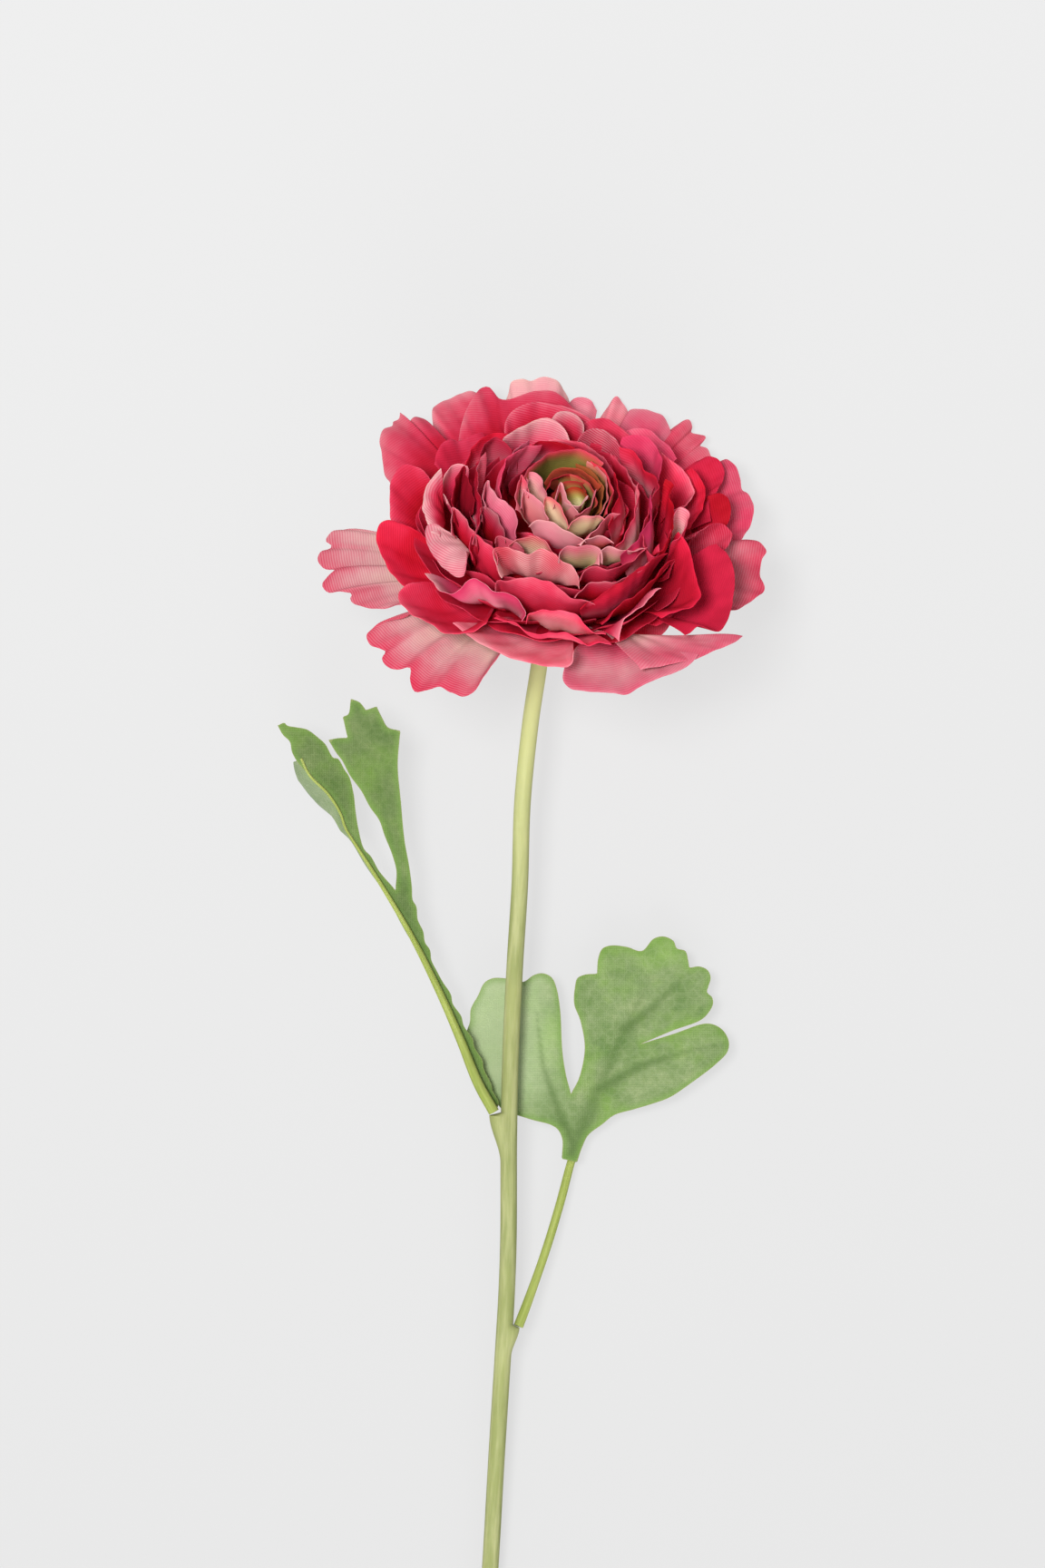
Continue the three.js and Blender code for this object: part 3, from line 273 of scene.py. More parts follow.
def tone_at(u, tone):
    """The tone at a share u of the height, from tones given at root, middle and rim."""
    return np.interp(u, [0, 0.5, 1], tone)


# How drawn petals bend and fold
WAIST = 0.55  # the share of the way from foot to rim at which a petal swells out most
LONG_WAVE = 1.15
SHORT_WAVE = 0.6
SHORT_SHARE = 0.6  # of the short wave against the long one
DENT_DEPTH = 0.26
NOTCH_DEPTH = 0.3
NOTCH_REACH = 5.0  # how far along the rim a notch is measured against its neighbours
CREASE_WIDTH = 0.12  # as a share of half the petal's width
FLARE = 1.1
FLARE_LENGTH = 15  # petals shorter than this flare less

# How their cloth varies from one petal to the next, and fades
CLOTH_SHIFT = 40
TONE_SHIFT = 0.05
# Painted shade: a darker tone in the creases below the notches of the rim
NOTCH_PAINTED_SHADE = 0.12
GREEN_FADE = 0.4


def drawn_petal(parts, rim, root, bulge, grid, seed, z=None, lift=0.0, foot=None, spread=3.0, ruffle=0.2,
                tone=(0.2, 0.4, 0.6), inner=None, magenta=0.0, green=0.0, green_reach=0.5, dye_and_painted_shade=0.0,
                weave=0.5, notches=0.0, crease=0.0, bands=(0.0, 0.0)):
    """A petal between its drawn rim and its root. z is the rim's heights over the surface, or lift how
    far it is raised from the dome. foot is the two ends of its root where it is drawn too. Tones run
    from root to rim, bands across. inner is the tone of the side towards the bloom's axis where it
    differs."""
    rows, columns = grid
    edge = spline(rim_points(rim, z, lift), columns)
    middle = edge.mean(0)
    radial = unit(middle * (1, 1, 0))
    across = np.array([-radial[1], radial[0], 0])
    v = np.linspace(-1, 1, columns)
    u = 1 - np.linspace(1, 0, rows) ** 1.2
    if foot is None:
        base = root[0] * radial + (0, 0, root[1])
        way = np.sign((edge[-1] - edge[0]) @ across) or 1.0
        feet = base + np.outer(v * spread * way, across)
    else:
        ends = [seen(*end) for end in foot]
        base = (ends[0] + ends[1]) / 2
        feet = ends[0] + np.outer((v + 1) / 2, ends[1] - ends[0])
    reach = middle - base
    out = unit(reach[2] * radial - (reach @ radial) * np.array([0, 0, 1]))
    waist = feet + WAIST * (edge - feet) + np.outer(bulge * (1 - v ** 2), out)
    uu = u[:, None, None]
    surface = (1 - uu) ** 2 * feet + 2 * uu * (1 - uu) * waist + uu ** 2 * edge

    # Folds: a ruffle at the rim, creases below its notches and soft dents over the whole face
    run = run_length(edge)
    a, b = np.meshgrid(u, run, indexing="ij")
    phase = 6.0 * jitter(seed)
    wave = np.sin(b / LONG_WAVE + phase) + SHORT_SHARE * np.sin(b / SHORT_WAVE + 2 * phase)
    length = np.linalg.norm(edge - base, axis=1)
    near = np.exp(-0.5 * ((run[:, None] - run[None, :]) / NOTCH_REACH) ** 2)
    crest = (near @ length) / near.sum(1) + 1.0
    notch = np.clip((crest - length) / crest * 5, 0, 1)[None, :] * smooth((a - 0.45) / 0.5) * notches
    dents = np.sin(0.55 * b + 4 * a + phase) * np.sin(3.1 * a + 0.3 * b + 2 * phase)
    dents = dents * np.sin(np.pi * a) ** 0.6
    ridge = crease * np.exp(-((v[None, :] / CREASE_WIDTH) ** 2)) * a
    lip = FLARE * min(1, length.mean() / FLARE_LENGTH) * a ** 3 * (1 - a ** 6)
    fold = ruffle * a ** 3 * wave + DENT_DEPTH * dents - NOTCH_DEPTH * notch - ridge - lip
    surface = surface + fold[..., None] * out

    world = from_bloom(surface)
    world[..., 2] = np.maximum(world[..., 2], LOWEST)
    normal = grid_normals(world)

    # The cloth: how far across and up it each point lies, and how far below the rim
    steps = np.linalg.norm(np.diff(surface, axis=0), axis=2)
    height = np.vstack([np.zeros((1, columns)), np.cumsum(steps, axis=0)])
    span = np.linalg.norm(edge - middle, axis=1).mean()
    sideways = v[None, :] * span * (0.35 + 0.65 * a)
    cloth = filled(a.shape, sideways + CLOTH_SHIFT * jitter(seed + 3), height, height[-1] - height)
    band = np.interp(v, np.linspace(-1, 1, len(bands)), bands) * smooth(a * 1.6)
    # Bands across, painted shade in the creases below the notches, and a random tone for each petal
    shift = band - NOTCH_PAINTED_SHADE * notch + TONE_SHIFT * jitter(seed + 9)
    greens = green * smooth((green_reach - a) / GREEN_FADE)
    sides = [filled(a.shape, tone_at(a, t) + shift, magenta, greens) for t in (tone, inner or tone)]
    if np.nanmean(normal @ (out @ BLOOM_AXES)) < 0:
        sides.reverse()
    # The weave attribute also carries how much the whole petal is darkened: partly its dye, partly painted
    # shade, and painted light where the value is below nothing
    parts.add_sheet(world, normal, grid_faces(rows, columns), PETAL_THICKNESS, cloth=cloth,
                    petal=tuple(sides), weave=filled(a.shape, weave, dye_and_painted_shade))


# Petals drawn by their rims, each point where it is seen from above. Tones: 0 deepest crimson, 0.5 crimson,
# 0.75 pink, 1 pale. A root is a distance from the bloom's axis and a height along it. A layer's style
# holds for each of its petals that doesn't say otherwise.

GUARD_STYLE = dict(root=(8, 2))
GUARDS = [
    dict(rim=[(-30.2, 55), (-35.2, 55.6), (-39.2, 56.2), (-42, 55.6), (-43.4, 53.4), (-42, 52.4),
         (-44.4, 51.2), (-45.2, 49.4), (-44, 47.6), (-41.4, 47.2), (-43, 45.6), (-44.2, 43.8),
         (-42.8, 42.4), (-39.2, 42.2), (-37.6, 41.8), (-38, 40.8), (-35.6, 39), (-32.2, 38.6),
         (-27.2, 39.2), (-24.2, 40)], z=(30, 33, 36), bulge=-2, tone=(1.2, 1.2, 0.75),
         green=0.5, dye_and_painted_shade=0.35, weave=1, notches=1, bands=(0.1, 0.05, 0, 0.05, 0.1)),
    dict(rim=[(-21.2, 38.4), (-27.2, 36.4), (-32.2, 35), (-34.4, 32.8), (-33.4, 30.4), (-30.2, 29.4),
         (-31, 27.4), (-29.2, 25.4), (-24.8, 25.4), (-24.8, 22.8), (-23.8, 20.6), (-21.6, 20.4),
         (-18.2, 21.4), (-15.8, 20.2), (-13.6, 19.2), (-11.2, 20), (-9, 22.8), (-7, 25.8),
         (-5, 28.4)], z=(44, 50, 54), bulge=-3, spread=4, tone=(1.2, 1.25, 0.7), green=0.5, dye_and_painted_shade=0.25,
         weave=1, notches=1, bands=(0.15, 0.05, 0, 0, 0, 0.05, 0.2)),
    dict(rim=[(-15.4, 35.6), (-12.2, 32.8), (-8.2, 30.4), (-3.2, 28), (2.8, 26.4), (7.4, 25.8),
         (10, 25.8), (11, 26.8), (11.2, 29)], z=(55, 56, 57),
         foot=((-5.6, 35.2, 46), (11.2, 31.6, 48)), bulge=1.5,
         tone=(0.7, 0.8, 0.8), magenta=0.1, dye_and_painted_shade=0.05, ruffle=0.08),
    dict(rim=[(10.6, 28.4), (9.2, 25.4), (9, 22.8), (10.6, 21), (14.8, 20.4), (19.8, 20),
         (23.2, 19.8), (25.6, 21.2), (29.2, 23), (33.8, 24.6), (37.2, 26.6), (38.8, 28.4)],
         z=(54, 53, 50), foot=((12.8, 31.2, 47), (26.8, 30.4, 46)), bulge=1.5, tone=(0.7, 1, 0.85),
         magenta=0.3, dye_and_painted_shade=0.25, weave=0.6, ruffle=0.08),
    dict(rim=[(26, 25.2), (29.6, 25.8), (33.8, 26.6), (38.4, 27.6), (42.8, 29.6), (46.8, 31.2),
         (48.6, 32.6)], z=(52.8, 50, 45), foot=((16.8, 34.8, 48), (25.2, 32.8, 45)), bulge=1.5,
         tone=(1.2, 0.9, 0.8), magenta=0.2, dye_and_painted_shade=0.2, ruffle=0.08),
    dict(rim=[(46, 50.4), (48, 53), (50.4, 54), (52.6, 53), (53.8, 51), (52.8, 49.6), (52.4, 47.2),
         (52.4, 45.6), (53.4, 43.2), (52.2, 41.6), (49.2, 39.4), (46, 38.2), (42.8, 37.4)],
         z=(24, 27, 34), bulge=-2, tone=(0.9, 1.15, 0.7), green=0.3, dye_and_painted_shade=0.25, weave=0.7),
    dict(rim=[(31.8, 75.8), (33.2, 78.4), (35.2, 80), (36.8, 80.2), (37.4, 78.6), (37.2, 77.4),
         (39, 77.2), (40.4, 76.4), (39.2, 74.4), (40.8, 74), (41.6, 72), (42.4, 70)], z=(3, 2, 8),
         bulge=-1, tone=(0.6, 0.45, 0.8), dye_and_painted_shade=0.1, weave=0.6),
    dict(rim=[(42.8, 69.6), (44.6, 71.6), (46.8, 70.2), (48, 67.4), (48.4, 64.8), (50, 63.6),
         (51, 61.2), (50.6, 58), (49.2, 55.2), (47.2, 52)], z=(7, 14, 22), bulge=-1,
         tone=(0.55, 0.6, 0.74), magenta=0.2, dye_and_painted_shade=0.1, weave=0.8),
    dict(rim=[(9.6, 82.4), (10.8, 84.4), (13.2, 85.4), (15, 84.6), (16.4, 82.2)], z=2, bulge=0,
         tone=(0.7, 1.05, 0.85), magenta=0.3, weave=0.7),
    dict(rim=[(16.8, 80.4), (18.6, 82.8), (20.8, 85.4), (22.4, 83.6), (23.6, 81.2)], z=2, bulge=0,
         tone=(0.7, 0.8, 0.9), weave=0.7),
    dict(rim=[(22.4, 80.4), (23.6, 82.2), (26, 82.8), (28.8, 82), (31, 81), (32.2, 79.2),
         (33, 76.4)], z=(3, 3, 5), bulge=0, tone=(0.6, 0.45, 0.9), magenta=0.3, dye_and_painted_shade=0.15),
    dict(rim=[(-4.2, 82.8), (-3, 86.4), (-2.4, 88.6), (-0.2, 89.2), (1.6, 88.8), (3.6, 89.6),
         (5.6, 89.6), (7.6, 88.8), (9.2, 86.8), (10.4, 84)], z=0.7, bulge=0, tone=(1, 0.65, 1.05),
         magenta=0.2, dye_and_painted_shade=0.05, weave=0.4),
    dict(rim=[(-19.2, 71.8), (-19.6, 77.8), (-19.8, 82.8), (-17.8, 84.2), (-15.6, 85), (-13.6, 86.2),
         (-11.8, 86.6), (-9.8, 86)], z=(8, 1.5, 1), bulge=-1, tone=(0.6, 0.1, 0.85), dye_and_painted_shade=0.15,
         weave=0.4),
    dict(rim=[(-28.4, 64.8), (-30.2, 68), (-31, 72.2), (-31.4, 76.4), (-30.6, 78.2), (-28.8, 78.8),
         (-28.4, 80), (-27.2, 80.6), (-27, 81.8), (-26.2, 79.6), (-25.4, 77.6), (-24.8, 73.8)],
         z=(20, 15, 12), bulge=-2, tone=(0.55, 0.15, 0.8), dye_and_painted_shade=0.25, weave=0.4),
    dict(rim=[(-25.2, 70.8), (-25.6, 75.4), (-25, 79.6), (-23.4, 81), (-21.8, 80.6), (-20.2, 78.8),
         (-19.4, 75.8), (-18.8, 70.8)], z=(16, 11, 11), bulge=-2, tone=(0.35, 0.1, 0.75), dye_and_painted_shade=0.15,
         weave=0.3),
]

INNER_ROOT = (22, 7.5)
CRIMSON_STYLE = dict(root=(20, 5.5), bulge=4)
CRIMSON = [
    dict(rim=[(-14.2, 74.4), (-13.6, 78.8), (-12.4, 82.4), (-10.6, 85.6), (-9, 87.4), (-7.6, 87.6),
         (-6.4, 86.4), (-5, 84.8), (-1.6, 85.2), (1.8, 86.4), (4.8, 86.8), (7.4, 86.2), (9.6, 84.6),
         (11.6, 82.4)], z=(14, 9, 9, 10), bulge=2, spread=5, tone=(0.3, 0.35, 0.75),
         dye_and_painted_shade=0.2),
    dict(rim=[(-4, 76.4), (-3.8, 79.8), (-2.2, 82.2), (0.8, 83.8), (3.8, 84.2), (7.2, 83.6),
         (10.8, 82.8), (13.8, 81.2), (16.8, 78.8)], z=(17, 14, 14), root=INNER_ROOT, bulge=3,
         spread=5, tone=(0.4, 0.05, 0.7), dye_and_painted_shade=0.15, weave=1),
    dict(rim=[(-28.4, 54.4), (-29.2, 60.4), (-29.2, 65.6), (-27.8, 69), (-25.8, 70.4), (-23.6, 70.2),
         (-21.6, 68.6), (-20.2, 66.2), (-19.4, 62.4)], z=(32, 29, 29),
         tone=(0.25, 0.1, 0.6), dye_and_painted_shade=0.1),
    dict(rim=[(-26, 56.8), (-28.8, 58.2), (-31.2, 57.6), (-32.2, 55.2), (-31.6, 51.6), (-30.2, 48.6),
         (-28.2, 45.6), (-25.8, 43.2), (-22.8, 42.2), (-19.2, 41.8)], z=(36, 39, 44),
         bulge=5, tone=(0.25, 0.25, 0.45), dye_and_painted_shade=-0.05),
    dict(rim=[(-22.8, 44.4), (-25.6, 43.8), (-27.2, 42.4), (-27.2, 40.2), (-25.6, 38.4),
         (-22.8, 36.6), (-19.6, 34.8), (-16.6, 33.2), (-14.2, 33), (-11.2, 33.6), (-8, 35.2)],
         z=(49, 54, 57), bulge=5, tone=(0.6, 0.4, 0.6)),
    dict(rim=[(-21.6, 46.4), (-19.8, 44.2), (-17.8, 42.6), (-15.6, 41.8), (-13.8, 42.8),
         (-12.2, 44.8), (-10.6, 45.2), (-8.2, 43.8), (-5.6, 42.4), (-3, 41.8), (-1, 40.6),
         (0.2, 39.2), (0.6, 37.2), (-0.2, 35.8)], lift=1, root=INNER_ROOT, spread=5,
         tone=(0.5, 1, 0.5), inner=(0.3, 0.55, 1.2), magenta=0.6, dye_and_painted_shade=0.1),
    dict(rim=[(-6, 42.4), (-5.8, 44.4), (-3.2, 45), (0.8, 45.4), (4.2, 45.2), (6.4, 44.4),
         (8.8, 42.4), (11.8, 40.8), (14.4, 40.2), (16, 39.4)], lift=0.5, root=INNER_ROOT, bulge=5,
         spread=6, tone=(0.4, 0.4, 0.65), dye_and_painted_shade=0.15),
    dict(rim=[(0.8, 35.2), (1.4, 37.4), (3.8, 38.4), (7.2, 38), (10.2, 38.2), (12.4, 36.8),
         (13.8, 34.8), (15.8, 33.6), (18.4, 32.8)], bulge=6, spread=6,
         tone=(0.55, 1.1, 0.6), dye_and_painted_shade=-0.15),
    dict(rim=[(-6.2, 36.8), (-4.6, 36), (-2.4, 35.6), (-0.6, 34.8), (1.6, 33.4), (4.2, 32.8),
         (6.8, 33.4), (9.2, 33.4), (11.6, 32.2), (14.4, 30.8), (17.2, 31), (19.6, 30.6)],
         bulge=5, spread=7, tone=(0.3, 0.8, 0.6), magenta=0.1, dye_and_painted_shade=-0.17),
    dict(rim=[(21.2, 31.6), (21.8, 34.4), (23, 37), (24.6, 38.2), (26.6, 39.2), (28, 40.8),
         (29.2, 42.6), (30.6, 43)], bulge=3, tone=(0.5, 0.4, 0.85), magenta=0.3,
         dye_and_painted_shade=-0.1),
    dict(rim=[(12.8, 38.4), (15.2, 40.4), (18.4, 42.4), (21.6, 44.6), (24.6, 46.6), (27.4, 48.6),
         (29.8, 50), (32, 51)], root=INNER_ROOT, spread=6, tone=(0.35, 0.75, 0.15),
         magenta=0.1, dye_and_painted_shade=-0.15),
    dict(rim=[(17.6, 34.8), (20, 38), (22.8, 40.4), (26.4, 42.8), (29.2, 45.6), (31.6, 48.4),
         (33.4, 49.8)], lift=-1, root=INNER_ROOT, spread=6, tone=(0.3, 0, 0.35), dye_and_painted_shade=0.2),
    dict(rim=[(42.8, 52.8), (44.8, 51.2), (46.4, 48), (46.8, 43.8), (46.2, 39.8), (45.4, 36.4),
         (44, 34.2), (41.6, 33.8), (39.2, 34.8), (35.8, 32.8)], z=(36, 44, 50),
         spread=5, tone=(0.2, 0.4, 0.25), magenta=0.2, weave=0.4),
    dict(rim=[(34.4, 55.6), (36.4, 52.8), (37.6, 48.8), (38.4, 44.8), (39.4, 41.2), (37.2, 39.2),
         (34.4, 38), (30.4, 36.8)], z=(44, 49, 53), root=INNER_ROOT, spread=5,
         tone=(0.35, 0.15, 0.4), magenta=0.1, dye_and_painted_shade=-0.1, weave=0.3),
    dict(rim=[(38, 54.4), (40, 56.4), (42.4, 57.4), (44.6, 57), (46.2, 55.2), (45.6, 52.8),
         (43.8, 50.6)], z=(34, 30, 33), tone=(0.5, 0.65, 0.65), dye_and_painted_shade=0.2,
         weave=1.2),
    dict(rim=[(22, 76.4), (24.8, 77), (27.4, 76.4), (29.4, 74.6), (30.6, 71.8), (30.6, 69.2),
         (29.6, 66.4)], z=(22, 24, 33), root=INNER_ROOT, bulge=3, spread=5, tone=(0.5, 0.65, 0.6),
         magenta=0.4, dye_and_painted_shade=0.05),
    dict(rim=[(29.2, 74.4), (32.2, 71.8), (34.8, 69.8), (36.8, 67.4), (37.8, 64.6), (37, 62.4),
         (34.8, 61), (32, 59.8)], z=(19, 23, 37), spread=5,
         tone=(0.4, 0.3, 0.75), dye_and_painted_shade=-0.2),
    dict(rim=[(37.2, 69.8), (39, 67.8), (40.2, 65.2), (40.2, 62.4), (38.8, 59.2), (36.8, 56.4)],
         z=(19, 24, 33), bulge=3, spread=5, tone=(0.4, 0.8, 0.3), dye_and_painted_shade=-0.1),
    dict(rim=[(38.4, 71.2), (40.8, 72.2), (43, 71.6), (44.4, 69.4), (44.2, 66.8), (42.8, 64.6),
         (41.2, 62.4), (41.6, 57.8)], z=(12, 15, 26), bulge=3, spread=5,
         tone=(0.45, 0.4, 0.4), magenta=0.1, dye_and_painted_shade=0.05),
    dict(rim=[(41.2, 63.2), (43.6, 64.2), (45.4, 62.8), (46, 59.8), (44.8, 56.8)], z=(22, 24, 26),
         bulge=3, spread=5, tone=(0, 0.4, 0.25), dye_and_painted_shade=0.1),
    dict(rim=[(-19.6, 70.4), (-18, 74.8), (-15.8, 76), (-13.6, 75.6), (-11.2, 76.8), (-8.8, 77.6)],
         z=(25, 21, 18), bulge=3, spread=5, tone=(0.3, 0.45, 0.5), magenta=0.1,
         dye_and_painted_shade=0.15),
    dict(rim=[(13.6, 79.6), (15.8, 80.4), (18.4, 80.6), (20.8, 79.2), (22.8, 77.6), (24.8, 75.6)],
         z=(15, 14, 16), bulge=2, spread=5, tone=(0.4, 0.5, 0.66), dye_and_painted_shade=0.11),
    dict(rim=[(22.8, 78), (25.6, 78.4), (28.4, 77.8), (30.4, 76), (32.4, 74.4), (34, 71.8)],
         z=(12, 12, 16), bulge=2, spread=5, tone=(0.35, 0.5, 0.68), magenta=0.3),
]

